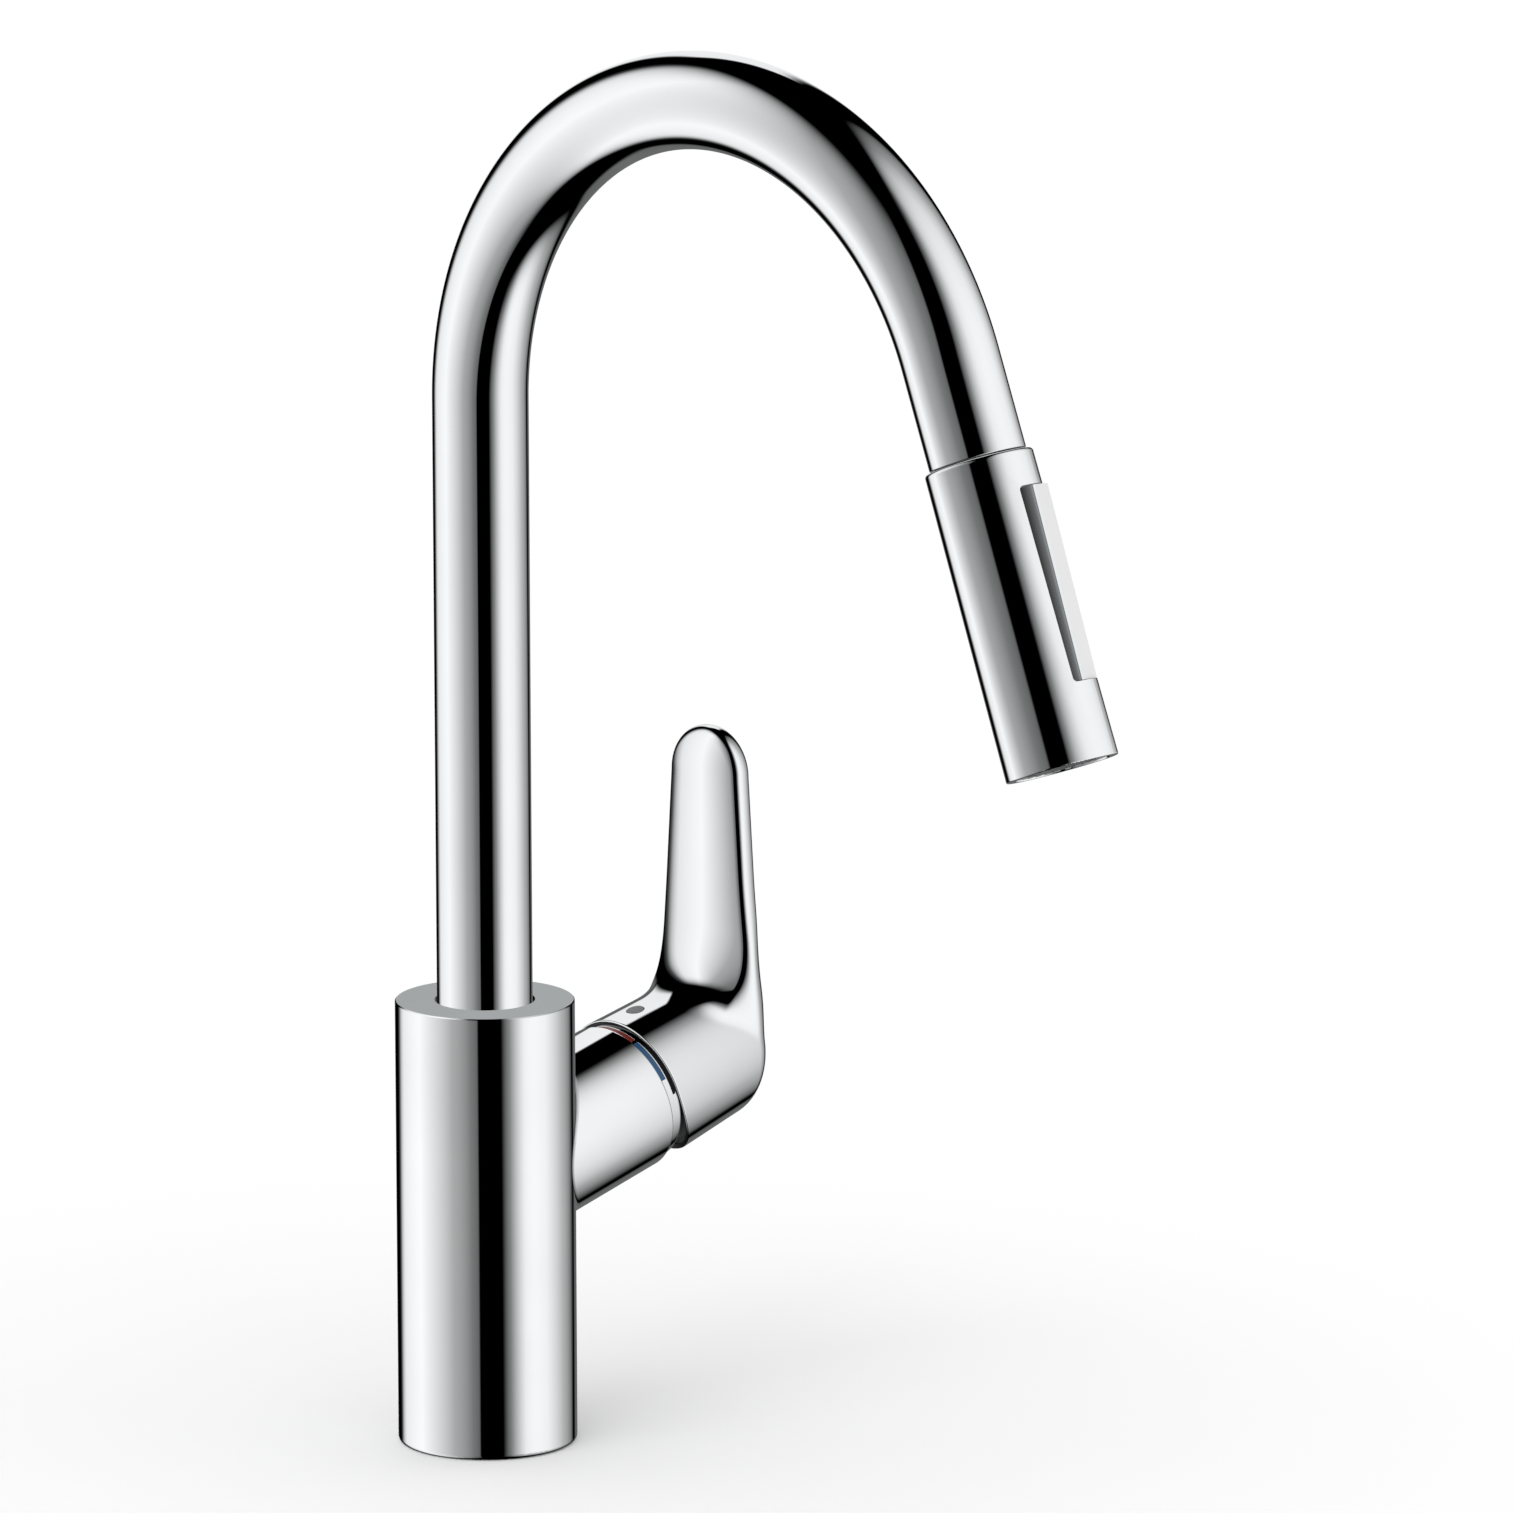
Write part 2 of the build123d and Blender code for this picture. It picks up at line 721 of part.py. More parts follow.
# The rocker stands tilted on its pin, with its upper end proud of the shell.
with BuildPart() as rocker_button:
    with BuildSketch(rocker_section):
        with BuildLine():
            Polyline(
                (-plate_half_width, plate_floor),
                (plate_half_width, plate_floor),
                (plate_half_width, plate_edge),
                (button_face_half_width, plate_face),
                (-button_face_half_width, plate_face),
                (-plate_half_width, plate_edge),
                close=True,
            )
        make_face()
    extrude(amount=plate_length / 2, both=True)
    with BuildSketch(rocker_level):
        RectangleRounded(plate_length, 2 * plate_half_width, window_corner - button_gap)
    extrude(amount=2 * plate_face, mode=Mode.INTERSECT)
    with BuildSketch(rocker_level.offset(lug_height - pin_height)):
        Rectangle(2 * lug_half_length, 2 * lug_half_width)
    extrude(amount=pin_height - lug_height + plate_floor)
    with BuildSketch(pin_plane):
        Circle(rocker_pin_radius + fit_gap)
    extrude(amount=head_inner_radius, both=True, mode=Mode.SUBTRACT)

with BuildPart() as rocker_pin:
    with BuildSketch(pin_plane):
        Circle(rocker_pin_radius)
    extrude(amount=rocker_pin_half_length, both=True)

with BuildPart() as diverter_spool:
    with BuildSketch(button_level(spool_foot, spool_place)):
        Circle(spool_radius)
    extrude(amount=pin_height + plate_floor + spool_distance * sin(tilt) - free_gap - spool_foot)


# Outlet of the spray head

with BuildPart() as spray_face:
    with BuildSketch(nose_section(face_start)):
        Circle(core_radius)
        Circle(aerator_radius + fit_gap, mode=Mode.SUBTRACT)
        with PolarLocations(nozzle_circle, nozzle_count):
            Circle(nozzle_radius + fit_gap, mode=Mode.SUBTRACT)
    extrude(amount=face_thickness)
    with BuildSketch(nose_section(face_start)):
        Circle(hub_outer_radius)
        Circle(aerator_radius + fit_gap, mode=Mode.SUBTRACT)
    extrude(amount=face_thickness - face_hub_length)

with BuildPart() as spray_nozzles:
    with BuildSketch(nose_section(nozzle_base_start)):
        Circle(core_radius)
        Circle(hub_outer_radius + fit_gap, mode=Mode.SUBTRACT)
    extrude(amount=nozzle_base_height)
    with BuildSketch(nose_section(nozzle_base_start)):
        with PolarLocations(nozzle_circle, nozzle_count):
            Circle(nozzle_radius)
    extrude(amount=face_end - nozzle_base_start + nozzle_reach)

with BuildPart() as aerator:
    with BuildSketch(nose_section(face_end)):
        Circle(aerator_radius)
        Circle(aerator_radius - aerator_wall, mode=Mode.SUBTRACT)
    extrude(amount=-face_hub_length)
    with BuildSketch(nose_section(face_end - mesh_thickness)):
        Circle(aerator_radius - aerator_wall / 2)
        Circle(mesh_hole_radius, mode=Mode.SUBTRACT)
        for ring in range(1, mesh_rings + 1):
            with PolarLocations(ring * mesh_pitch, 6 * ring):
                Circle(mesh_hole_radius, mode=Mode.SUBTRACT)
    extrude(amount=-mesh_thickness)


# Cartridge in the arm

base_start = cavity_floor + seat_gap
fixed_disc_start = housing_start
moving_disc_start = fixed_disc_start + disc_thickness + seat_gap
carrier_start = moving_disc_start + disc_thickness + seat_gap
housing_bore = cartridge_radius - housing_wall
moving_disc_shift = ball_distance * sin(radians(flow_angle)) / 2
moving_disc_radius = housing_bore - moving_disc_shift - moving_disc_gap
driver_start = housing_end - housing_end_wall - free_gap - driver_flange_thickness
driver_end = housing_end + driver_neck_height
lever_pivot = housing_end - pivot_drop
ball_place = lever_pivot - ball_distance
fork_half_width = stem_half_width + stem_fork_gap
slot_half_length = (
    (lever_pivot - driver_start) * tan(radians(flow_angle))
    + stem_neck_radius / cos(radians(flow_angle))
    + stem_fork_gap
)
pivot_plane = Plane(
    origin=arm_origin + arm_direction * lever_pivot, x_dir=arm_direction, z_dir=(0, -1, 0)
)
rim_place = arm_length + rim_gap
port_places = ((inlet_spread, 0), (-inlet_spread, 0), (0, -outlet_drop))

with BuildPart() as cartridge_base:
    with BuildSketch(arm_section(base_start)):
        Circle(cartridge_radius)
        with Locations(*port_places):
            Circle(channel_radius, mode=Mode.SUBTRACT)
    extrude(amount=base_thickness)
    with BuildSketch(arm_section(base_start)):
        with Locations(*port_places):
            Circle(seal_ring_radius + fit_gap)
    extrude(amount=seal_ring_height, mode=Mode.SUBTRACT)

with BuildPart() as port_seals:
    with BuildSketch(arm_section(base_start)):
        with Locations(*port_places):
            Circle(seal_ring_radius)
            Circle(seal_ring_radius - seal_ring_wall, mode=Mode.SUBTRACT)
    extrude(amount=seal_ring_height - seat_gap)

with BuildPart() as fixed_disc:
    with BuildSketch(arm_section(fixed_disc_start)):
        Circle(housing_bore - fixed_disc_gap)
        with Locations(*port_places):
            Circle(channel_radius, mode=Mode.SUBTRACT)
    extrude(amount=disc_thickness)

with BuildPart() as moving_disc:
    with BuildSketch(arm_section(moving_disc_start)):
        with Locations((0, -moving_disc_shift)):
            Circle(moving_disc_radius)
    extrude(amount=disc_thickness)
    with BuildSketch(arm_section(moving_disc_start)):
        with Locations((0, -moving_disc_shift)):
            Circle(moving_disc_recess)
    extrude(amount=moving_disc_recess_depth, mode=Mode.SUBTRACT)

with BuildPart() as disc_carrier:
    with BuildSketch(arm_section(carrier_start)):
        with Locations((0, -moving_disc_shift)):
            Circle(moving_disc_radius)
    extrude(amount=carrier_thickness)
    with BuildSketch(arm_section(carrier_start + carrier_floor)):
        Circle(ball_radius + free_gap)
    extrude(amount=carrier_thickness, mode=Mode.SUBTRACT)

with BuildPart() as cartridge_housing:
    with BuildSketch(arm_section(housing_start)):
        Circle(cartridge_radius)
        Circle(housing_bore, mode=Mode.SUBTRACT)
    extrude(amount=housing_length)
    with BuildSketch(arm_section(housing_end)):
        Circle(cartridge_radius)
        Circle(driver_neck_radius + 2 * fit_gap, mode=Mode.SUBTRACT)
    extrude(amount=-housing_end_wall)

with BuildPart() as mixing_driver:
    with BuildSketch(arm_section(driver_start)):
        Circle(housing_bore - free_gap)
    extrude(amount=driver_flange_thickness)
    with BuildSketch(arm_section(driver_start)):
        Circle(driver_neck_radius)
    extrude(amount=driver_end - driver_start)
    with BuildSketch(arm_section(driver_start)):
        Rectangle(2 * fork_half_width, 2 * slot_half_length)
    extrude(amount=driver_flange_thickness, mode=Mode.SUBTRACT)
    with BuildSketch(arm_section(driver_start + driver_flange_thickness)):
        Rectangle(2 * fork_half_width, 2 * driver_neck_radius)
    extrude(amount=driver_end - driver_start, mode=Mode.SUBTRACT)
    with BuildSketch(pivot_plane):
        Circle(pivot_pin_radius + fit_gap)
    extrude(amount=driver_neck_radius, both=True, mode=Mode.SUBTRACT)

with BuildPart() as pivot_pin:
    with BuildSketch(pivot_plane):
        Circle(pivot_pin_radius)
    extrude(amount=pivot_pin_half_length, both=True)

with BuildPart() as cartridge_stem:
    with BuildSketch(arm_section(lever_pivot - stem_square_drop)):
        Rectangle(2 * stem_half_width, 2 * stem_half_width)
    extrude(amount=rim_place + stem_grip - lever_pivot + stem_square_drop)
    with BuildSketch(arm_section(ball_place)):
        Circle(stem_neck_radius)
    extrude(amount=ball_distance - stem_square_drop)
    with BuildSketch(arm_profile):
        with Locations((ball_place, 0)):
            Circle(ball_radius)
        with Locations((ball_place, -ball_radius)):
            Rectangle(4 * ball_radius, 2 * ball_radius, mode=Mode.SUBTRACT)
    revolve(axis=arm_axis)
    with BuildSketch(pivot_plane):
        Circle(pivot_pin_radius + fit_gap)
    extrude(amount=driver_neck_radius, both=True, mode=Mode.SUBTRACT)

with BuildPart() as cartridge_nut:
    with BuildSketch(arm_section(housing_end + seat_gap)):
        Circle(nut_bore_radius - fit_gap)
        Circle(nut_inner_radius, mode=Mode.SUBTRACT)
    extrude(amount=nut_height)


# Rings at the end of the arm

index_radius = arm_radius - index_inset
index_start = arm_length + seat_gap
index_end = index_start + index_height
index_spigot_start = housing_end + nut_height + 2 * seat_gap


def mark_sketch(start, size, gap):
    """A mark's outline on the index ring. Its angles count from the arm's top towards the front."""
    return ring_sector(index_radius - mark_depth - gap, index_radius, 90 + start - gap, size + 2 * gap)


with BuildPart() as index_ring:
    with BuildSketch(arm_section(index_start)):
        Circle(index_radius)
        Circle(index_inner_radius, mode=Mode.SUBTRACT)
    extrude(amount=index_height)
    with BuildSketch(arm_section(index_spigot_start)):
        Circle(nut_bore_radius - fit_gap)
        Circle(index_inner_radius, mode=Mode.SUBTRACT)
    extrude(amount=index_start - index_spigot_start)
    with BuildSketch(arm_section(index_start)):
        add(mark_sketch(red_mark_start, red_mark_size, fit_gap))
        add(mark_sketch(blue_mark_start, blue_mark_size, fit_gap))
    extrude(amount=index_height - mark_inset, mode=Mode.SUBTRACT)

with BuildPart() as red_mark:
    with BuildSketch(arm_section(index_start)):
        add(mark_sketch(red_mark_start, red_mark_size, 0))
    extrude(amount=index_height - mark_inset - seat_gap)

with BuildPart() as blue_mark:
    with BuildSketch(arm_section(index_start)):
        add(mark_sketch(blue_mark_start, blue_mark_size, 0))
    extrude(amount=index_height - mark_inset - seat_gap)

with BuildPart() as cover_ring:
    with BuildSketch(arm_section(index_end + seat_gap)):
        Circle(arm_radius - cover_ring_inset)
        Circle(index_inner_radius, mode=Mode.SUBTRACT)
    extrude(amount=cover_ring_height)
    fillet(cover_ring.edges().group_by(arm_axis)[-1].sort_by(SortBy.RADIUS)[-1], cover_ring_round)


# Handle

handle_face = (rim_place + cap_length) * cos(radians(arm_angle))
edge_centre = handle_face - lever_edge_round
crown_side = edge_centre - 3 * lever_edge_round
root_height = arm_height + edge_centre * tan(radians(arm_angle))
round_height = root_height + lever_length
rim_radius = arm_radius + cap_overhang
cap_end = rim_place + cap_length
cap_end_radius = rim_radius - cap_taper
cap_inner_end = rim_place + cap_inner_depth
cap_inner_radius = rim_radius - cap_wall
socket_half_width = stem_half_width + fit_gap
socket_end = rim_place + stem_grip + free_gap
hub_start = rim_place + hub_inset
plug_place = rim_place + plug_inset
plug_surface = rim_radius - cap_taper * plug_inset / cap_length
plug_seat = plug_surface - plug_thickness
screw_seat = socket_half_width + seat_gap


def cap_outline():
    """Half of the round cap's section along the arm."""
    with BuildSketch() as made:
        with BuildLine():
            Polyline(
                (rim_place, 0),
                (rim_place, rim_radius),
                (cap_end, cap_end_radius),
                (cap_end + cap_end_radius, cap_end_radius),
                (cap_end + cap_end_radius, 0),
                close=True,
            )
        make_face()
    return made.sketch


def lever_outline(half_width):
    """The lever's cross-section: a crowned inner face, round edges and a flat outer face."""
    crown_angle = radians(lever_crown_angle)
    edge_place = half_width - lever_edge_round
    crown_x = edge_centre - lever_edge_round * cos(crown_angle)
    crown_y = edge_place + lever_edge_round * sin(crown_angle)
    crown_depth = crown_y * tan(crown_angle / 2)
    edge_turn = (crown_angle + pi) / 2
    edge_x = edge_centre - lever_edge_round * cos(edge_turn)
    edge_y = edge_place + lever_edge_round * sin(edge_turn)
    with BuildSketch() as made:
        with BuildLine():
            ThreePointArc((crown_x, -crown_y), (crown_x - crown_depth, 0), (crown_x, crown_y))
            ThreePointArc((crown_x, crown_y), (edge_x, edge_y), (handle_face, edge_place))
            Line((handle_face, edge_place), (handle_face, -edge_place))
            ThreePointArc((handle_face, -edge_place), (edge_x, -edge_y), (crown_x, -crown_y))
        make_face()
    return made.sketch


def half_lever_outline(half_width):
    """The half of the lever's cross-section on the +Y side."""
    with BuildSketch() as made:
        add(lever_outline(half_width))
        with Locations((handle_face, -half_width)):
            Rectangle(4 * half_width, 2 * half_width, mode=Mode.SUBTRACT)
    return made.sketch


def upward_plane(height):
    """A plane across the set screw's hole, square to the arm's upward normal."""
    centre = arm_origin + arm_direction * plug_place + arm_upward * height
    return Plane(origin=centre, x_dir=arm_direction, z_dir=arm_upward)


with BuildPart() as lever_handle:
    # round cap, cut off by the upright outer face
    with BuildSketch(arm_profile):
        add(cap_outline())
    revolve(axis=arm_axis)
    with BuildSketch(Plane.YZ.offset(handle_face)):
        with Locations((0, root_height)):
            Rectangle(4 * rim_radius, 4 * rim_radius)
    extrude(amount=4 * rim_radius, mode=Mode.SUBTRACT)
    fillet(lever_handle.faces().sort_by(Axis.X)[-1].edges(), handle_corner_round)

    # tapered lever, rounded into the cap, with a round end and its root inside the cap
    root_half_width = cap_end_radius - lever_root_inset
    with BuildSketch(Plane.XY.offset(root_height)):
        add(lever_outline(root_half_width))
    with BuildSketch(Plane.XY.offset(round_height)):
        add(lever_outline(lever_tip_radius))
    loft(ruled=True)
    with BuildSketch(Plane.XY.offset(round_height)):
        add(half_lever_outline(lever_tip_radius))
    revolve(axis=Axis((0, 0, round_height), (1, 0, 0)), revolution_arc=180)
    meeting_edges = (
        lever_handle.edges()
        .filter_by(GeomType.BSPLINE)
        .filter_by_position(Axis.Z, root_height, (root_height + round_height) / 2)
        .filter_by_position(Axis.X, crown_side, edge_centre)
    )
    fillet(meeting_edges, lever_root_round)
    with BuildSketch(Plane.XY.offset(root_height)):
        add(half_lever_outline(root_half_width))
    revolve(axis=Axis((0, 0, root_height), (-1, 0, 0)), revolution_arc=180)

    # hollow cap with a hub for the stem and a boss for the set screw
    with BuildSketch(arm_profile):
        with BuildLine():
            Polyline(
                (rim_place - rim_gap, 0),
                (rim_place - rim_gap, cap_inner_radius),
                (rim_place, cap_inner_radius),
                (cap_inner_end, cap_inner_radius - cap_inner_taper),
                (cap_inner_end, hub_radius),
                (hub_start, hub_radius),
                (hub_start, 0),
                close=True,
            )
        make_face()
    revolve(axis=arm_axis, mode=Mode.SUBTRACT)
    with BuildSketch(upward_plane(socket_half_width)):
        Circle(boss_radius)
    extrude(amount=plug_surface - cap_wall - socket_half_width)
    with BuildSketch(arm_section(hub_start)):
        Rectangle(2 * socket_half_width, 2 * socket_half_width)
    extrude(amount=socket_end - hub_start, mode=Mode.SUBTRACT)
    with BuildSketch(upward_plane(0)):
        Circle(screw_radius + fit_gap)
    extrude(amount=rim_radius, mode=Mode.SUBTRACT)
    with BuildSketch(upward_plane(plug_seat - seat_gap)):
        Circle(plug_radius + fit_gap)
    extrude(amount=rim_radius, mode=Mode.SUBTRACT)

    # relief under the rim, which keeps the cap off the arm when the lever is raised
    relief_bottom = -rim_radius - free_gap
    relief_turn = degrees(asin((cap_relief_start - relief_bottom) / cap_relief_radius))
    relief_centre = (rim_place + cap_relief_radius, cap_relief_start)
    with BuildSketch(arm_profile):
        with BuildLine():
            relief = CenterArc(relief_centre, cap_relief_radius, 180, relief_turn)
            Polyline(
                relief @ 1,
                (rim_place - rim_gap, relief_bottom),
                (rim_place - rim_gap, cap_relief_start),
                relief @ 0,
            )
        make_face()
    extrude(amount=2 * rim_radius, both=True, mode=Mode.SUBTRACT)

with BuildPart() as handle_screw:
    with BuildSketch(upward_plane(screw_seat)):
        Circle(screw_radius)
    extrude(amount=screw_length)
    with BuildSketch(upward_plane(screw_seat + screw_length)):
        RegularPolygon(screw_key_radius, 6)
    extrude(amount=-screw_key_depth, mode=Mode.SUBTRACT)

with BuildPart() as handle_plug:
    with BuildSketch(upward_plane(plug_seat)):
        Circle(plug_radius)
    extrude(amount=rim_radius)
    with BuildSketch(arm_profile):
        add(cap_outline())
    revolve(axis=arm_axis, mode=Mode.INTERSECT)


pieces = {
    "base_body": base_body,
    "base_seal": base_seal,
    "threaded_shank": threaded_shank,
    "worktop_washer": worktop_washer,
    "clamp_plate": clamp_plate,
    "shank_nut": shank_nut,
    "clamp_screws": clamp_screws,
    "gap_ring": gap_ring,
    "thrust_washer": thrust_washer,
    "swivel_stop_screw": swivel_stop_screw,
    "spout_foot": spout_foot,
    "slide_rings": slide_rings,
    "spout_tube": spout_tube,
    "docking_sleeve": docking_sleeve,
    "pull_out_hose": pull_out_hose,
    "hose_coupling": hose_coupling,
    "hose_end_fitting": hose_end_fitting,
    "hose_nut": hose_nut,
    "filter_washer": filter_washer,
    "check_valve": check_valve,
    "head_shell": head_shell,
    "head_core": head_core,
    "rocker_button": rocker_button,
    "rocker_pin": rocker_pin,
    "diverter_spool": diverter_spool,
    "spray_face": spray_face,
    "spray_nozzles": spray_nozzles,
    "aerator": aerator,
    "cartridge_base": cartridge_base,
    "port_seals": port_seals,
    "fixed_disc": fixed_disc,
    "moving_disc": moving_disc,
    "disc_carrier": disc_carrier,
    "cartridge_housing": cartridge_housing,
    "mixing_driver": mixing_driver,
    "pivot_pin": pivot_pin,
    "cartridge_stem": cartridge_stem,
    "cartridge_nut": cartridge_nut,
    "index_ring": index_ring,
    "red_mark": red_mark,
    "blue_mark": blue_mark,
    "cover_ring": cover_ring,
    "lever_handle": lever_handle,
    "handle_screw": handle_screw,
    "handle_plug": handle_plug,
}
for name, piece in pieces.items():
    piece.part.label = name
    export_step(piece.part, f"parts/{name}.step")
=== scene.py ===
"""Pull-out kitchen faucet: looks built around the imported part.

Places are in the row frame: the origin is the centre of the base on the worktop, +Z is up,
the spout reaches towards -Y and the handle is on the +X side. The studio, the camera and
the materials are in metres. The pieces are worked out in millimetres, as in the CAD.
"""

import json
import math

import bmesh
import bpy
import numpy as np
from mathutils import Matrix, Vector

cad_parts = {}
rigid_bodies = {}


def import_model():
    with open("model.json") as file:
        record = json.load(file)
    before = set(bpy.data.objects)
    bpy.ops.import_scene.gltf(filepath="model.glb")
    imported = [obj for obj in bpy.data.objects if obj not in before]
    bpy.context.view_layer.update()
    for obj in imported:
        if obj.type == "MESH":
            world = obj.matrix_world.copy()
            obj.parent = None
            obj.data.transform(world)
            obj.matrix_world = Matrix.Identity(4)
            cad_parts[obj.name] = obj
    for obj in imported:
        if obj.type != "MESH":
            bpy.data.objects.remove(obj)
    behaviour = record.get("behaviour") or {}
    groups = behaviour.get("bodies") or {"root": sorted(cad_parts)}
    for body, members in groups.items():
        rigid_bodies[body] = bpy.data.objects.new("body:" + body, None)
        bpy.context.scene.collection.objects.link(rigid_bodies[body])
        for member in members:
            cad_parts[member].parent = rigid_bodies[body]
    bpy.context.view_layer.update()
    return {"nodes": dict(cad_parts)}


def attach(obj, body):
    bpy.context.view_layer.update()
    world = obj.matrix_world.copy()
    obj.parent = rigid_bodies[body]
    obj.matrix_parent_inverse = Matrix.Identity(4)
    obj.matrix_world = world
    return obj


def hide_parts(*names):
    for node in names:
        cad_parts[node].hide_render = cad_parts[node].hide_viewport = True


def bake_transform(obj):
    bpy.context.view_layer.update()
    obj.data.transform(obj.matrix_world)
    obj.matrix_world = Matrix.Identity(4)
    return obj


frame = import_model()
NODES = frame["nodes"]


# Node building

SLOW_SCALE = 25.0
SLOW_DETAIL = 3.0
FINE_SCALE = 900.0
FINE_DETAIL = 2.0
NOISE_START = 0.3
NOISE_END = 0.7

# The mix node's sockets for its first value, its second value and its result
MIX_SOCKETS = {"FLOAT": (2, 3, 0), "RGBA": (6, 7, 2)}


def node(tree, kind, settings=None, **inputs):
    """Adds a node, sets its properties and its inputs, and links inputs that are sockets."""
    made = tree.nodes.new(kind)
    for key, value in (settings or {}).items():
        setattr(made, key, value)
    for key, value in inputs.items():
        socket = made.inputs[key]
        if isinstance(value, bpy.types.NodeSocket):
            tree.links.new(value, socket)
        else:
            socket.default_value = value
    return made


def maths(tree, operation, first, second):
    """The result of an operation on a socket and a number, or on two sockets."""
    made = node(tree, "ShaderNodeMath", {"operation": operation})
    tree.links.new(first, made.inputs[0])
    if isinstance(second, bpy.types.NodeSocket):
        tree.links.new(second, made.inputs[1])
    else:
        made.inputs[1].default_value = second
    return made.outputs[0]


def length_along(tree, vector, direction):
    """How far a vector reaches along a direction."""
    made = node(tree, "ShaderNodeVectorMath", {"operation": "DOT_PRODUCT"})
    tree.links.new(vector, made.inputs[0])
    made.inputs[1].default_value = Vector(direction).normalized()
    return made.outputs["Value"]


def mixed(tree, kind, factor, first, second):
    """The first colour or number where the factor is 0, and the second where it is 1."""
    first_socket, second_socket, result = MIX_SOCKETS[kind]
    made = node(tree, "ShaderNodeMix", {"data_type": kind})
    tree.links.new(factor, made.inputs["Factor"])
    tree.links.new(first, made.inputs[first_socket])
    tree.links.new(second, made.inputs[second_socket])
    return made.outputs[result]


def mixed_shaders(tree, factor, first, second):
    """The first shader where the factor is 0, and the second where it is 1."""
    made = node(tree, "ShaderNodeMixShader", Fac=factor)
    tree.links.new(first.outputs[0], made.inputs[1])
    tree.links.new(second.outputs[0], made.inputs[2])
    return made


def grain(tree, scale, detail, stretch=(1, 1, 1)):
    """Noise in the piece's own coordinates, in bumps for each metre, 0 to 1."""
    place = node(tree, "ShaderNodeTexCoord").outputs["Object"]
    wide = node(tree, "ShaderNodeMapping", Vector=place, Scale=stretch)
    noise = node(tree, "ShaderNodeTexNoise", Vector=wide.outputs[0], Scale=scale,
                 Detail=detail, Roughness=0.5)
    return noise.outputs["Fac"]


def spread(tree, factor, low, high, start=NOISE_START, end=NOISE_END):
    """A factor between start and end turned into a number from low to high."""
    made = node(tree, "ShaderNodeMapRange", {"clamp": True}, Value=factor)
    for key, value in (("From Min", start), ("From Max", end), ("To Min", low), ("To Max", high)):
        made.inputs[key].default_value = value
    return made.outputs[0]


def fade(tree, factor, start, end):
    """Smoothly 0 at start and 1 at end of the factor."""
    made = node(tree, "ShaderNodeMapRange", {"interpolation_type": "SMOOTHSTEP"}, Value=factor)
    rising = start < end
    made.inputs["From Min"].default_value = min(start, end)
    made.inputs["From Max"].default_value = max(start, end)
    made.inputs["To Min"].default_value = 0.0 if rising else 1.0
    made.inputs["To Max"].default_value = 1.0 if rising else 0.0
    return made.outputs[0]


def tint(tree, factor, dark, light):
    """Noise turned into a colour between two close ones."""
    ramp = node(tree, "ShaderNodeValToRGB", Fac=factor)
    ramp.color_ramp.elements[0].position = NOISE_START
    ramp.color_ramp.elements[1].position = NOISE_END
    ramp.color_ramp.elements[0].color = (*dark, 1)
    ramp.color_ramp.elements[1].color = (*light, 1)
    return ramp.outputs["Color"]


def greys(tree, factor, stops, tone):
    """A factor turned into grey levels, each at its share of the way, in a slight tone."""
    ramp = node(tree, "ShaderNodeValToRGB", Fac=factor)
    elements = ramp.color_ramp.elements
    while len(elements) < len(stops):
        elements.new(0.5)
    for element, (share, level) in zip(elements, stops):
        element.position = share
        element.color = (level * tone[0], level * tone[1], level * tone[2], 1)
    return ramp.outputs["Color"]


def relief(tree, shader, height, depth):
    """Bump from a height of 0 to 1, depth in metres."""
    bump = node(tree, "ShaderNodeBump", Height=height, Strength=1.0, Distance=depth)
    tree.links.new(bump.outputs[0], shader.inputs["Normal"])


def new_material(name):
    """A new material, its node tree and its principled shader."""
    material = bpy.data.materials.new(name)
    material.use_nodes = True
    tree = material.node_tree
    return material, tree, tree.nodes["Principled BSDF"]


def emptied(owner):
    """The node tree of a material or world, with nothing in it."""
    owner.use_nodes = True
    owner.node_tree.nodes.clear()
    return owner.node_tree


# Finishes of the materials, some with painted light and shade, with places and heights in metres

ANY_HEIGHT = -1.0
LIGHTER = 1.05
PAINTED_FINE_SCALE = 2400.0
PAINTED_SHADE_TONE = (0.95, 1.0, 1.02)

# The body's top is painted a darker grey than the rest: painted shade in place of its reflection,
# with a satin roughness
UPWARD = (0, 0, 1)
UPWARD_TURN = 0.9
BODY_TOP = 0.1255

# The button's flank is painted in shades that grow lighter towards its crest, with a painted
# highlight line near the crest and a dark line after it, and its face is white
BUTTON_FACING = (0.375, -0.87, 0.32)
BUTTON_TURN = 0.93
BUTTON_FOOT = 0.2752
BUTTON_CREST = 0.2782
BUTTON_PAINTED_SHADES = ((0.0, 0.004), (0.12, 0.015), (0.3, 0.045), (0.62, 0.12), (0.77, 0.26),
                 (0.82, 0.06), (0.86, 0.84))

# The cover ring is painted near black as painted shade of its gap, and is chrome where it turns to
# this direction
RING_UNSHADED_FACING = (0.142, -0.819, -0.556)
RING_UNSHADED_TURN = 0.72


def finish(name, dark, light, rough, metallic=0.0, fine=FINE_SCALE, depth=0.0,
           stretch=(1, 1, 1), coat=0.0):
    """A procedural finish: slow colour and gloss variation with a fine surface grain."""
    material, tree, shader = new_material(name)
    slow = grain(tree, SLOW_SCALE, SLOW_DETAIL)
    fast = grain(tree, fine, FINE_DETAIL, stretch)
    tree.links.new(tint(tree, slow, dark, light), shader.inputs["Base Color"])
    tree.links.new(spread(tree, fast, *rough), shader.inputs["Roughness"])
    shader.inputs["Metallic"].default_value = metallic
    shader.inputs["Coat Weight"].default_value = coat
    if depth:
        relief(tree, shader, fast, depth)
    return material


def varied(tree, slow, colour):
    """A colour that grows slightly lighter in slow patches."""
    return tint(tree, slow, colour, tuple(min(1, level * LIGHTER) for level in colour))


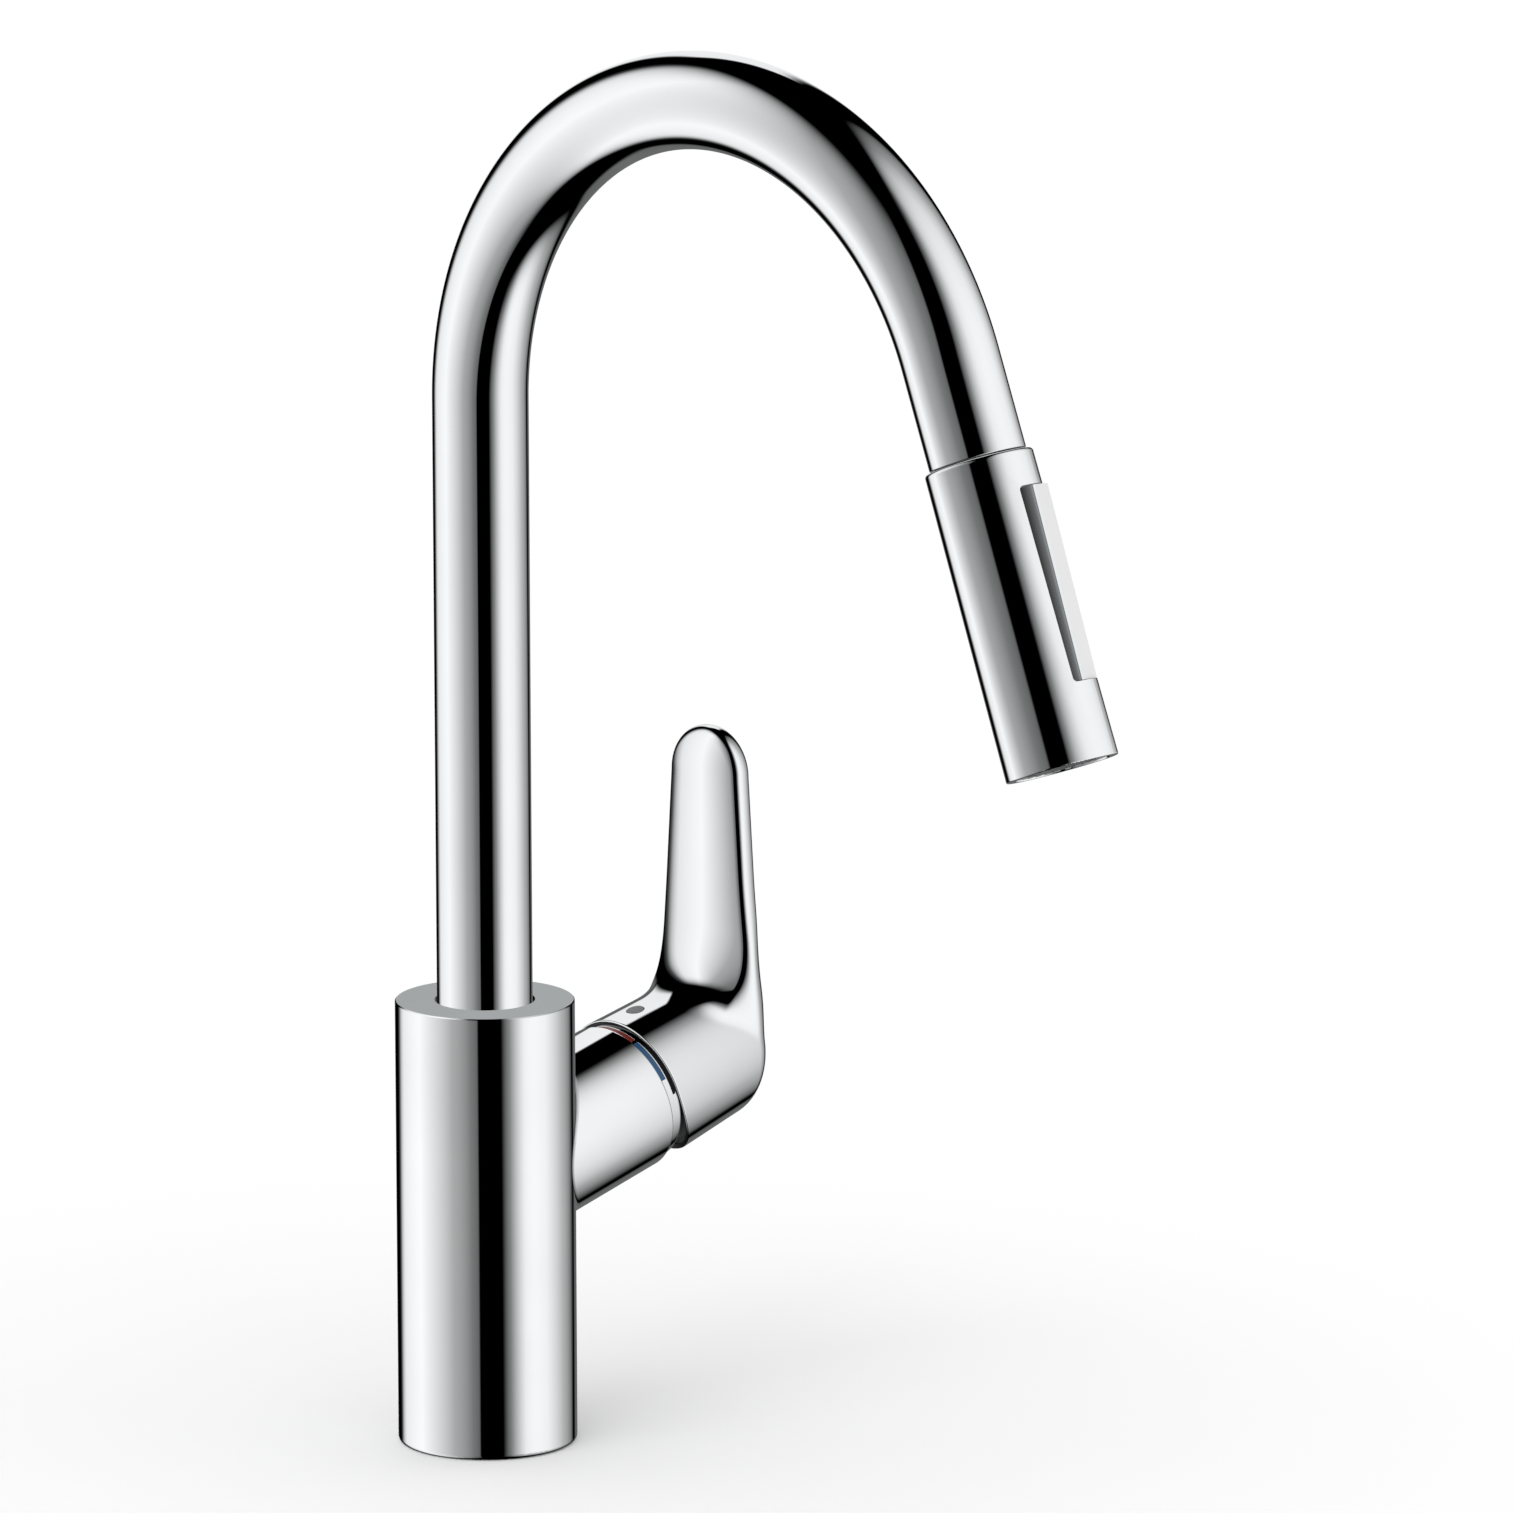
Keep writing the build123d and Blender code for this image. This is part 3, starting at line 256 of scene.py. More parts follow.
def finishes_with_painted_light(name, facing, turn, colour, rough, other_colour, other_rough, metallic,
                 above=ANY_HEIGHT, painted_shades=None):
    """One finish all over, and another where the surface is turned to a direction.

    Turn is the least cosine between the two, and above is the least height. In each use one of the
    two is painted light or shade. Painted shades take the place of the first colour: grey levels
    along that direction, with their start and end.
    """
    material, tree, shader = new_material(name)
    coords = node(tree, "ShaderNodeTexCoord")
    height = node(tree, "ShaderNodeSeparateXYZ", Vector=coords.outputs["Object"]).outputs["Z"]
    high = maths(tree, "GREATER_THAN", height, above)
    turned_to = maths(tree, "GREATER_THAN",
                      length_along(tree, coords.outputs["Normal"], facing), turn)
    where = maths(tree, "MULTIPLY", high, turned_to)
    slow = grain(tree, SLOW_SCALE, SLOW_DETAIL)
    fast = grain(tree, PAINTED_FINE_SCALE, FINE_DETAIL)
    if painted_shades:
        levels, start, end = painted_shades
        place = length_along(tree, coords.outputs["Object"], facing)
        base = greys(tree, spread(tree, place, 0.0, 1.0, start, end), levels, PAINTED_SHADE_TONE)
    else:
        base = varied(tree, slow, colour)
    paint = mixed(tree, "RGBA", where, base, varied(tree, slow, other_colour))
    gloss = mixed(tree, "FLOAT", where, spread(tree, fast, *rough),
                  spread(tree, fast, *other_rough))
    tree.links.new(paint, shader.inputs["Base Color"])
    tree.links.new(gloss, shader.inputs["Roughness"])
    shader.inputs["Metallic"].default_value = metallic
    return material


MATERIALS = {
    "chrome": finish("chrome", (0.93, 0.935, 0.94), (0.96, 0.965, 0.97),
                     rough=(0.02, 0.035), metallic=1.0),
    "chromed_plastic": finish("chromed_plastic", (0.92, 0.925, 0.93), (0.95, 0.955, 0.96),
                              rough=(0.03, 0.05), metallic=1.0),
    # Chrome with its top painted darker grey: painted reflection and shade
    "body_chrome": finishes_with_painted_light("body_chrome", UPWARD, UPWARD_TURN,
                                (0.95, 0.955, 0.96), (0.02, 0.035),
                                (0.43, 0.45, 0.45), (0.3, 0.32),
                                metallic=1.0, above=BODY_TOP),
    # White face, and a flank in painted shade with a painted highlight near its crest
    "button": finishes_with_painted_light("button", BUTTON_FACING, BUTTON_TURN, None, (0.25, 0.3),
                           (0.86, 0.86, 0.86), (0.2, 0.24), metallic=0.0,
                           painted_shades=(BUTTON_PAINTED_SHADES, BUTTON_FOOT, BUTTON_CREST)),
    # Near black as painted shade in the gap, chrome where turned to the given direction
    "ring_chrome_painted_shade": finishes_with_painted_light("ring_chrome_painted_shade", RING_UNSHADED_FACING, RING_UNSHADED_TURN,
                                (0.012, 0.012, 0.013), (0.06, 0.1),
                                (0.93, 0.935, 0.94), (0.03, 0.05), metallic=1.0),
    # Near-black metal inside the cap: a dull inner finish, darkened further as painted shade of the
    # closed cap
    "cap_inside_painted_shade": finish("cap_inside_painted_shade", (0.02, 0.02, 0.02), (0.035, 0.035, 0.035),
                         rough=(0.3, 0.4), metallic=1.0),
    "brass": finish("brass", (0.72, 0.50, 0.22), (0.80, 0.58, 0.28), rough=(0.22, 0.38),
                    metallic=1.0, fine=700.0, depth=4e-6, stretch=(1, 1, 6)),
    "steel": finish("steel", (0.50, 0.50, 0.49), (0.60, 0.60, 0.59), rough=(0.24, 0.42),
                    metallic=1.0, fine=800.0, depth=4e-6, stretch=(1, 1, 8)),
    "rubber": finish("rubber", (0.012, 0.012, 0.013), (0.03, 0.03, 0.031),
                     rough=(0.62, 0.82), fine=1800.0, depth=2e-5),
    "black_plastic": finish("black_plastic", (0.014, 0.014, 0.015), (0.028, 0.028, 0.03),
                            rough=(0.36, 0.5), fine=2200.0, depth=8e-6),
    "white_plastic": finish("white_plastic", (0.74, 0.74, 0.73), (0.8, 0.8, 0.79),
                            rough=(0.3, 0.42), fine=2200.0, depth=6e-6),
    "grey_plastic": finish("grey_plastic", (0.155, 0.158, 0.156), (0.17, 0.173, 0.171),
                           rough=(0.38, 0.41), fine=700.0),
    "dark_grey_plastic": finish("dark_grey_plastic", (0.05, 0.052, 0.053),
                                (0.075, 0.077, 0.078), rough=(0.36, 0.5),
                                fine=2200.0, depth=8e-6),
    "red_plastic": finish("red_plastic", (0.16, 0.012, 0.008), (0.21, 0.018, 0.012),
                          rough=(0.22, 0.3), fine=2200.0, depth=2e-6, coat=0.15),
    "blue_plastic": finish("blue_plastic", (0.006, 0.062, 0.16), (0.01, 0.085, 0.22),
                           rough=(0.22, 0.3), fine=2200.0, depth=2e-6, coat=0.15),
    "ceramic": finish("ceramic", (0.76, 0.75, 0.71), (0.83, 0.82, 0.79), rough=(0.12, 0.2)),
    "hose_braid": finish("hose_braid", (0.3, 0.3, 0.31), (0.42, 0.42, 0.43),
                         rough=(0.35, 0.5), metallic=0.6, fine=1500.0, depth=3e-5),
    "silicone": finish("silicone", (0.34, 0.35, 0.36), (0.42, 0.43, 0.44),
                       rough=(0.42, 0.55), fine=1500.0, depth=8e-6),
}


# Sizes of the part, in millimetres as in the CAD, for the pieces that are modelled here

MM = 0.001
SPOUT_RADIUS = 13.3
SPOUT_BORE = 12.0
SPOUT_BOTTOM = 112.65
ARCH_START = 296.0
ARCH_RADIUS = 92.9
ARCH_TURN = math.radians(158.6)
NOSE_LENGTH = 28.2
SEAM_GAP = 0.5
HOSE_RADIUS = 6.25
HOSE_BORE = 4.0
HOSE_START = -86.25
HOSE_PULL = 220.0
HOSE_END_INSET = 16.15
ARM_ANGLE = math.radians(14.3)
ARM_HEIGHT = 75.9
ARM_OUT = Vector((math.cos(ARM_ANGLE), 0, math.sin(ARM_ANGLE)))
ARM_UP = Vector((-math.sin(ARM_ANGLE), 0, math.cos(ARM_ANGLE)))

# Lengths along the spout's centreline, from the hose's lower end
ARCH_LENGTH = ARCH_RADIUS * ARCH_TURN
RISE = ARCH_START - HOSE_START
SEAM_PLACE = RISE + ARCH_LENGTH + NOSE_LENGTH


# Mesh building

SHARP_ANGLE = math.radians(35)
NORMAL_WEIGHT = 50


def new_object(name, data):
    """A new object in the scene."""
    obj = bpy.data.objects.new(name, data)
    bpy.context.scene.collection.objects.link(obj)
    return obj


def add_piece(name, points, faces, finishes, body, replaced=(), indices=None):
    """A mesh from points in millimetres, riding on a body, with smooth weighted normals.

    Indices give the finish of each face, where there is more than one. A piece without a
    body is left for a blend.
    """
    mesh = bpy.data.meshes.new(name)
    mesh.from_pydata([tuple(c * MM for c in p) for p in points], [], faces)
    mesh.update()
    bm = bmesh.new()
    bm.from_mesh(mesh)
    bmesh.ops.recalc_face_normals(bm, faces=bm.faces)
    bm.to_mesh(mesh)
    bm.free()
    for one in finishes:
        mesh.materials.append(MATERIALS[one])
    if indices is not None:
        mesh.polygons.foreach_set("material_index", indices)
    mesh.polygons.foreach_set("use_smooth", [True] * len(mesh.polygons))
    mesh.set_sharp_from_angle(angle=SHARP_ANGLE)
    obj = new_object(name, mesh)
    even = obj.modifiers.new("even_normals", "WEIGHTED_NORMAL")
    even.weight = NORMAL_WEIGHT
    even.keep_sharp = True
    if body:
        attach(obj, body)
    if replaced:
        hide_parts(*replaced)
    return obj


def rounded(corners, steps=4):
    """A closed outline from corners (x, y, radius), with its corners rounded by arcs."""
    made = []
    count = len(corners)
    for i, (x, y, radius) in enumerate(corners):
        here = Vector((x, y))
        before = (Vector(corners[i - 1][:2]) - here).normalized()
        after = (Vector(corners[(i + 1) % count][:2]) - here).normalized()
        turn = before.angle(after)
        reach = radius / math.tan(turn / 2)
        centre = here + (before + after).normalized() * radius / math.sin(turn / 2)
        first = here + before * reach - centre
        last = here + after * reach - centre
        sweep = first.angle_signed(last)
        for k in range(steps + 1):
            angle = -sweep * k / steps
            c, s = math.cos(angle), math.sin(angle)
            made.append(centre + Vector((first.x * c - first.y * s, first.x * s + first.y * c)))
    return made


def divided(outline, step):
    """The same closed outline, with long runs cut into steps."""
    made = []
    for i, here in enumerate(outline):
        there = outline[(i + 1) % len(outline)]
        parts = max(1, math.ceil((there - here).length / step))
        made += [here.lerp(there, k / parts) for k in range(parts)]
    return made


def spout_frame(distance):
    """A place on the spout's centreline and two directions across it.

    The distance counts from the hose's lower end.
    """
    if distance < RISE:
        return Vector((0, 0, HOSE_START + distance)), Vector((1, 0, 0)), Vector((0, 1, 0))
    turn = min((distance - RISE) / ARCH_RADIUS, ARCH_TURN)
    outward = Vector((0, math.cos(turn), math.sin(turn)))
    along = Vector((0, -math.sin(turn), math.cos(turn)))
    centre = Vector((0, -ARCH_RADIUS, ARCH_START)) + outward * ARCH_RADIUS
    beyond = max(0.0, distance - RISE - ARCH_LENGTH)
    return centre + along * beyond, Vector((1, 0, 0)), outward


def spout_ring(distance, around, radius_at):
    """Points round the spout's centreline, with a radius for each angle."""
    centre, side, up = spout_frame(distance)
    ring = []
    for k in range(around):
        angle = 2 * math.pi * k / around
        ring.append(centre + (side * math.cos(angle) + up * math.sin(angle)) * radius_at(angle))
    return ring


def closed_grid(rings, around):
    """The faces of a tube of rings of points, whose last ring meets the first."""
    faces = []
    for r in range(rings):
        here, there = r * around, (r + 1) % rings * around
        for k in range(around):
            after = (k + 1) % around
            faces.append((here + k, here + after, there + after, there + k))
    return faces


# Spout: one bent tube with softened ends

SPOUT_AROUND = 144
SPOUT_STEP = 2.0
SPOUT_EDGE = 0.2
MOUTH_EDGE = 0.25


def build_spout():
    start = SPOUT_BOTTOM - HOSE_START
    end = SEAM_PLACE - SEAM_GAP / 2
    outline = rounded([(start, SPOUT_RADIUS, SPOUT_EDGE), (end, SPOUT_RADIUS, MOUTH_EDGE),
                       (end, SPOUT_BORE, SPOUT_EDGE), (start, SPOUT_BORE, SPOUT_EDGE)])
    outline = divided(outline, SPOUT_STEP)
    points = []
    for spot in outline:
        points += spout_ring(spot.x, SPOUT_AROUND, lambda angle: spot.y)
    add_piece("spout_bend", points, closed_grid(len(outline), SPOUT_AROUND), ["chrome"],
              "spout", ["spout_tube"])


# Lever handle: a round cap that flows up into a crowned lever, found along rays from inside

# The cap's outside, with the drawn-back lower part of its rim and its outer corner
RIM_PLACE = 57.0
CAP_RADIUS = 21.8
CAP_TAPER = 1.4
CAP_LENGTH = 38.9
CORNER_ROUND = 4.8
CORNER_LEVEL = 14.0
CORNER_RISE = 26.0
RELIEF_RADIUS = 44.0
RELIEF_START = 5.0
RIM_ROUND = 0.3
RIM_ROUND_STEPS = 4
RIM_ROUND_TURN = math.pi / 6

# The lever, narrower towards its tip, with a crowned inside and a slight flare at its root
LEVER_LENGTH = 77.9
EDGE_ROUND = 4.0
CROWN = math.radians(24.0)
TIP_HALF_WIDTH = 13.6
ROOT_HALF_WIDTH = 19.05
FLARE = 0.8
FLARE_TOP = 150.0
FLARE_LENGTH = 36.0
FLARE_DEPTH = 8.0

# The soft hollow between the cap and the lever, wide in the middle and narrow at the edges
HOLLOW_POWER = 2.5
HOLLOW_MIDDLE = 17.0
HOLLOW_EDGE = 6.0
HOLLOW_HALF_WIDTH = 15.5
HOLLOW_FADE = 6.0
HOLLOW_RISE = 18.0
HOLLOW_LEAST = 0.02

# The cap's inside, with the hub that holds the stem's square socket
CAP_WALL = 0.85
CAP_INNER_RADIUS = CAP_RADIUS - CAP_WALL
CAP_INNER_DEPTH = 27.0
CAP_INNER_TAPER = 3.9
INNER_SHARES = (0.8, 0.6, 0.4, 0.2, 0.03)
RIM_WIDENING = 0.15
HUB_RADIUS = 8.0
HUB_PLACE = 63.0
HUB_EDGE = 0.4
SOCKET_HALF = 4.05
SOCKET_END = 71.3

# The plug's hole, in a square gap of the cap's grid of cells, over the screw's hole
PLUG_PLACE = 66.0
PLUG_HOLE = 2.55
PLUG_EDGE = 0.12
PLUG_EDGE_RINGS = ((0.04, 0.05), (0.0, 0.15))
PLUG_SEAT = 1.25
SCREW_HOLE = 2.05
SCREW_HOLE_DEPTH = 5.0
CELL = 0.7
HOLE_CELLS = 6
HOLE_SHARES = (0.25, 0.5, 0.75, 0.92, 1.0)

FACE_PLACE = (RIM_PLACE + CAP_LENGTH) * math.cos(ARM_ANGLE)
EDGE_PLACE = FACE_PLACE - EDGE_ROUND
ROOT_HEIGHT = ARM_HEIGHT + EDGE_PLACE * math.tan(ARM_ANGLE)
ROUND_HEIGHT = ROOT_HEIGHT + LEVER_LENGTH
OUT = np.array(ARM_OUT)
UP = np.array(ARM_UP)
ACROSS = np.array([0.0, 1.0, 0.0])
EAST = np.array([1.0, 0, 0])
ARM_START = np.array([0, 0, ARM_HEIGHT])

# The rings of the handle's mesh: about the arm, then fanning about a pivot, then level
AROUND = 192
FAN_RINGS = 84
LEVER_RINGS = 46
TIP_TURNS = np.linspace(3, 88.5, 30)
PIVOT_REACH = 22.0
PIVOT_INSET = 3.6
RAY_REACH = 45.0
RAY_CHECKS = 120
RAY_HALVINGS = 28
SPAN_REACH = 75.0
SPAN_CHECKS = 1500
LEAST = 1e-6
MOST_LEAN = 0.5
PIVOT_X = EDGE_PLACE - EDGE_ROUND * math.cos(CROWN) - PIVOT_INSET - PIVOT_REACH
PIVOT_RADIUS = CAP_RADIUS + PIVOT_REACH
PIVOT_PLACE = (PIVOT_X + PIVOT_RADIUS * math.sin(ARM_ANGLE)) / math.cos(ARM_ANGLE)
PIVOT = ARM_START + OUT * PIVOT_PLACE + UP * PIVOT_RADIUS


def smooth_step(value):
    """A value held between 0 and 1, with soft ends."""
    value = np.clip(value, 0, 1)
    return value * value * (3 - 2 * value)


def hollowed(one, other, reach):
    """The distances outside two bodies joined, with a hollow between them of the given reach."""
    near = np.maximum(1 - np.abs(one - other) / reach, 0)
    return np.minimum(one, other) - near ** HOLLOW_POWER * reach / (2 * HOLLOW_POWER)


def trimmed(one, other, radius, lean):
    """What two bodies share, its edge rounded; lean is the cosine between their surfaces."""
    a, b = one + radius, other + radius
    ball = np.sqrt(np.maximum(a * a + b * b - 2 * a * b * lean, 0) / (1 - lean ** 2))
    return np.where((a > b * lean) & (b > a * lean), ball - radius, np.maximum(one, other))


def lever_distance(x, y, z):
    """Distance outside the lever, with a crowned inside and round edges but no outer face."""
    share = np.clip((z - ROOT_HEIGHT) / LEVER_LENGTH, 0, 1)
    half = ROOT_HALF_WIDTH + (TIP_HALF_WIDTH - ROOT_HALF_WIDTH) * share
    over = np.where(z > ROUND_HEIGHT, z - ROUND_HEIGHT, np.minimum(z - ROOT_HEIGHT, 0))
    wide = np.maximum(np.hypot(y, over), LEAST)
    crown_half = half - EDGE_ROUND + EDGE_ROUND * math.sin(CROWN)
    crown_radius = crown_half / math.sin(CROWN)
    crown_x = x - (EDGE_PLACE - EDGE_ROUND * math.cos(CROWN) + crown_radius * math.cos(CROWN))
    from_crown = np.hypot(crown_x, wide)
    crown = np.where(crown_x < 0, from_crown, wide) - crown_radius
    flare = FLARE * smooth_step((FLARE_TOP - z) / FLARE_LENGTH)
    flare = flare * smooth_step((x - EDGE_PLACE + FLARE_DEPTH) / FLARE_DEPTH)
    lean = np.clip(wide / from_crown, 0, MOST_LEAN)
    return trimmed(crown, wide - half - flare, EDGE_ROUND, lean)


def handle_distance(p):
    """Distance outside the handle: the cap and the lever in a soft hollow, and one outer face."""
    x, y, z = p[..., 0], p[..., 1], p[..., 2]
    from_start = p - ARM_START
    along, above = from_start @ OUT, from_start @ UP
    radial = np.maximum(np.hypot(above, y), LEAST)
    cap = radial - (CAP_RADIUS - CAP_TAPER * (along - RIM_PLACE) / CAP_LENGTH)
    reach = HOLLOW_MIDDLE + (HOLLOW_EDGE - HOLLOW_MIDDLE) * smooth_step(
        (np.abs(y) - HOLLOW_HALF_WIDTH) / HOLLOW_FADE)
    rise = smooth_step((z - ROOT_HEIGHT) / HOLLOW_RISE)
    side = hollowed(cap, lever_distance(x, y, z), HOLLOW_LEAST + reach * rise)
    level = smooth_step((z - ROOT_HEIGHT - CORNER_LEVEL) / CORNER_RISE)
    corner = CORNER_ROUND + (EDGE_ROUND - CORNER_ROUND) * level
    return trimmed(side, x - FACE_PLACE, corner, above / radial * UP[0] * (1 - level))


def ray_lengths(starts, rays):
    """How far each ray runs inside the handle."""
    steps = np.linspace(0, RAY_REACH, RAY_CHECKS)
    places = starts[:, None] + rays[:, None] * steps[None, :, None]
    outside = handle_distance(places) > 0
    first = np.argmax(outside, axis=1)
    low, high = steps[np.maximum(first - 1, 0)], steps[first]
    for _ in range(RAY_HALVINGS):
        middle = (low + high) / 2
        out = handle_distance(starts + rays * middle[:, None]) > 0
        high, low = np.where(out, middle, high), np.where(out, low, middle)
    return low


def section_rays(origin, inward, start, end):
    """A ring of surface points in the plane of inward and Y, about the middle of a span."""
    middle = origin + inward * (start + end) / 2
    half = (end - start) / 2
    side = ray_lengths(middle[None], ACROSS[None])[0]
    angles = np.arange(AROUND) * 2 * math.pi / AROUND
    rays = -np.cos(angles)[:, None] * inward * half + np.sin(angles)[:, None] * ACROSS * side
    rays /= np.linalg.norm(rays, axis=1, keepdims=True)
    starts = np.repeat(middle[None], AROUND, 0)
    return starts + rays * ray_lengths(starts, rays)[:, None]


def span_inside(origin, direction, reach):
    """Where a ray from outside enters and leaves the handle."""
    steps = np.linspace(0, reach, SPAN_CHECKS)
    inside = handle_distance(origin + direction * steps[:, None]) < 0
    found = steps[inside]
    return found[0], found[-1]


def arm_ring(place_at, radius_at):
    """A ring about the arm, with its place along the arm and its radius given for each angle."""
    ring = []
    for k in range(AROUND):
        angle = k * 2 * math.pi / AROUND
        place = place_at(angle)
        side = UP * math.cos(angle) + np.array([0, math.sin(angle), 0])
        ring.append(ARM_START + OUT * place + side * radius_at(place, angle))
    return np.array(ring)


def rim_at(angle):
    """The rim's place along the arm: upright above, drawn back in an arc below."""
    drop = max(0.0, RELIEF_START - CAP_RADIUS * math.cos(angle))
    return RIM_PLACE + RELIEF_RADIUS - math.sqrt(RELIEF_RADIUS ** 2 - drop ** 2)


def cap_radius_at(place, inset=0.0):
    return CAP_RADIUS - CAP_TAPER * (place - RIM_PLACE) / CAP_LENGTH - inset


def inner_radius_at(place):
    return CAP_INNER_RADIUS - CAP_INNER_TAPER * (place - RIM_PLACE) / CAP_INNER_DEPTH


def socket_radius_at(angle):
    return SOCKET_HALF / max(abs(math.cos(angle)), abs(math.sin(angle)))


def inner_rings():
    """Rings of the cap's inside: the socket, its hub, the end wall and the wall to the rim."""
    inner_end = RIM_PLACE + CAP_INNER_DEPTH
    rings = [
        arm_ring(lambda a: SOCKET_END, lambda s, a: socket_radius_at(a)),
        arm_ring(lambda a: HUB_PLACE, lambda s, a: socket_radius_at(a)),
        arm_ring(lambda a: HUB_PLACE, lambda s, a: HUB_RADIUS - HUB_EDGE),
        arm_ring(lambda a: HUB_PLACE + HUB_EDGE, lambda s, a: HUB_RADIUS),
        arm_ring(lambda a: inner_end, lambda s, a: HUB_RADIUS),
        arm_ring(lambda a: inner_end, lambda s, a: inner_radius_at(s)),
    ]
    for share in INNER_SHARES:
        rings.append(arm_ring(lambda a: rim_at(a) + (inner_end - rim_at(a)) * share,
                              lambda s, a: inner_radius_at(s)))
    rings.append(arm_ring(rim_at, lambda s, a: inner_radius_at(s) + RIM_WIDENING))
    return rings


def rim_rings():
    """Rings round the softened outer edge of the rim."""
    rings = []
    for step in range(RIM_ROUND_STEPS):
        turn = step * RIM_ROUND_TURN
        rings.append(arm_ring(lambda a: rim_at(a) + RIM_ROUND * (1 - math.cos(turn)),
                              lambda s, a: cap_radius_at(s, RIM_ROUND * (1 - math.sin(turn)))))
    return rings


def cap_rings(places):
    """Rings along the cap's outside, through the given places on its top."""
    rings = []
    for top in places:
        share = (PIVOT_PLACE - top) / (PIVOT_PLACE - RIM_PLACE - RIM_ROUND)
        rings.append(arm_ring(
            lambda a: PIVOT_PLACE - (PIVOT_PLACE - rim_at(a) - RIM_ROUND) * share,
            lambda s, a: cap_radius_at(s)))
    return rings


def fan_rings():
    """Rings that turn with the hollow, from the cap to the lever, about the pivot."""
    rings = []
    for k in range(FAN_RINGS):
        turn = (math.pi / 2 - ARM_ANGLE) * k / FAN_RINGS
        inward = -UP * math.cos(turn) + OUT * math.sin(turn)
        rings.append(section_rays(PIVOT, inward, *span_inside(PIVOT, inward, SPAN_REACH)))
    return rings


def lever_rings():
    """Level rings up the lever and over its round tip."""
    levels = list(np.linspace(PIVOT[2], ROUND_HEIGHT, LEVER_RINGS))
    levels += [ROUND_HEIGHT + TIP_HALF_WIDTH * math.sin(math.radians(turn)) for turn in TIP_TURNS]
    rings = []
    for level in levels:
        origin = np.array([PIVOT[0], 0, level])
        rings.append(section_rays(origin, EAST, *span_inside(origin, EAST, RAY_REACH)))
    return rings


def grid_faces(rings, hole_ring):
    """The faces between the handle's rings, without the square gap for the plug's hole."""
    faces = []
    for r in range(rings - 1):
        for k in range(AROUND):
            column = (k + HOLE_CELLS) % AROUND
            in_rows = hole_ring - HOLE_CELLS <= r < hole_ring + HOLE_CELLS
            if in_rows and column < 2 * HOLE_CELLS:
                continue
            after = (k + 1) % AROUND
            faces.append((r * AROUND + k, r * AROUND + after,
                          (r + 1) * AROUND + after, (r + 1) * AROUND + k))
    return faces


def gap_edge():
    """The rows and columns, from the hole's middle, of the points round the square gap."""
    n = HOLE_CELLS
    edge = [(-n, k) for k in range(-n, n)]
    edge += [(k, n) for k in range(-n, n)]
    edge += [(n, k) for k in range(n, -n, -1)]
    edge += [(k, -n) for k in range(n, -n, -1)]
    return edge


def on_cap(along, across):
    """A place on the cap's outside, by its lengths along and across from the plug's middle."""
    place = PLUG_PLACE + along
    radius = cap_radius_at(place)
    angle = across / radius
    return Vector(ARM_START + OUT * place
                  + (UP * math.cos(angle) + np.array([0, math.sin(angle), 0])) * radius)


def in_hole(radius, depth, angle):
    """A place below the middle of the plug's hole."""
    base = ARM_START + OUT * PLUG_PLACE + UP * (cap_radius_at(PLUG_PLACE) - depth)
    return Vector(base + OUT * radius * math.cos(angle)
                  + np.array([0, radius * math.sin(angle), 0]))


def hole_rings(edge):
    """Rings of points from the square gap to the round hole's mouth, and down to its end."""
    column_step = 2 * math.pi / AROUND * cap_radius_at(PLUG_PLACE)
    turns = [math.atan2(k * column_step, r * CELL) for r, k in edge]
    mouth = PLUG_HOLE + PLUG_EDGE
    rings = []
    for share in HOLE_SHARES:
        rings.append([on_cap(r * CELL * (1 - share) + mouth * math.cos(turn) * share,
                             k * column_step * (1 - share) + mouth * math.sin(turn) * share)
                      for (r, k), turn in zip(edge, turns)])
    for wider, depth in PLUG_EDGE_RINGS:
        radius = PLUG_HOLE + wider
        rings.append([on_cap(radius * math.cos(turn), radius * math.sin(turn)) - Vector(UP) * depth
                      for turn in turns])
    for radius, depth in ((PLUG_HOLE, PLUG_SEAT), (SCREW_HOLE, PLUG_SEAT),
                          (SCREW_HOLE, SCREW_HOLE_DEPTH)):
        rings.append([in_hole(radius, depth, turn) for turn in turns])
    return rings


def build_handle():
    """The handle's mesh, from inside its cap, round the rim and up to the lever's tip."""
    inside = inner_rings()
    rim = rim_rings()
    before = int((PLUG_PLACE - RIM_PLACE - RIM_ROUND) / CELL)
    beyond = int((PIVOT_PLACE - PLUG_PLACE) / CELL)
    places = [PLUG_PLACE + CELL * k for k in range(-before, beyond)]
    hole_ring = len(inside) + len(rim) + before
    rings = inside + rim + cap_rings(places) + fan_rings() + lever_rings()
    points = [Vector(p) for ring in rings for p in ring]
    points.append(Vector(ARM_START + OUT * SOCKET_END))
    points.append(Vector((EDGE_PLACE, 0, ROUND_HEIGHT + TIP_HALF_WIDTH)))
    bottom, top = len(points) - 2, len(points) - 1
    faces = grid_faces(len(rings), hole_ring)
    last = (len(rings) - 1) * AROUND
    for k in range(AROUND):
        after = (k + 1) % AROUND
        faces.append((bottom, after, k))
        faces.append((top, last + k, last + after))

    edge = gap_edge()
    outer = [(hole_ring + r) * AROUND + k % AROUND for r, k in edge]
    for ring in hole_rings(edge):
        inner = list(range(len(points), len(points) + len(ring)))
        points.extend(ring)
        for k in range(len(ring)):
            after = (k + 1) % len(ring)
            faces.append((outer[k], outer[after], inner[after], inner[k]))
        outer = inner
    faces.append(tuple(outer))
    # Faces inside the cap get the near-black finish: painted shade
    painted_shade_inside = [1 if min(face) < len(inside) * AROUND else 0 for face in faces]
    add_piece("lever_and_cap", points, faces, ["chrome", "cap_inside_painted_shade"], "lever",
              ["lever_handle"], painted_shade_inside)


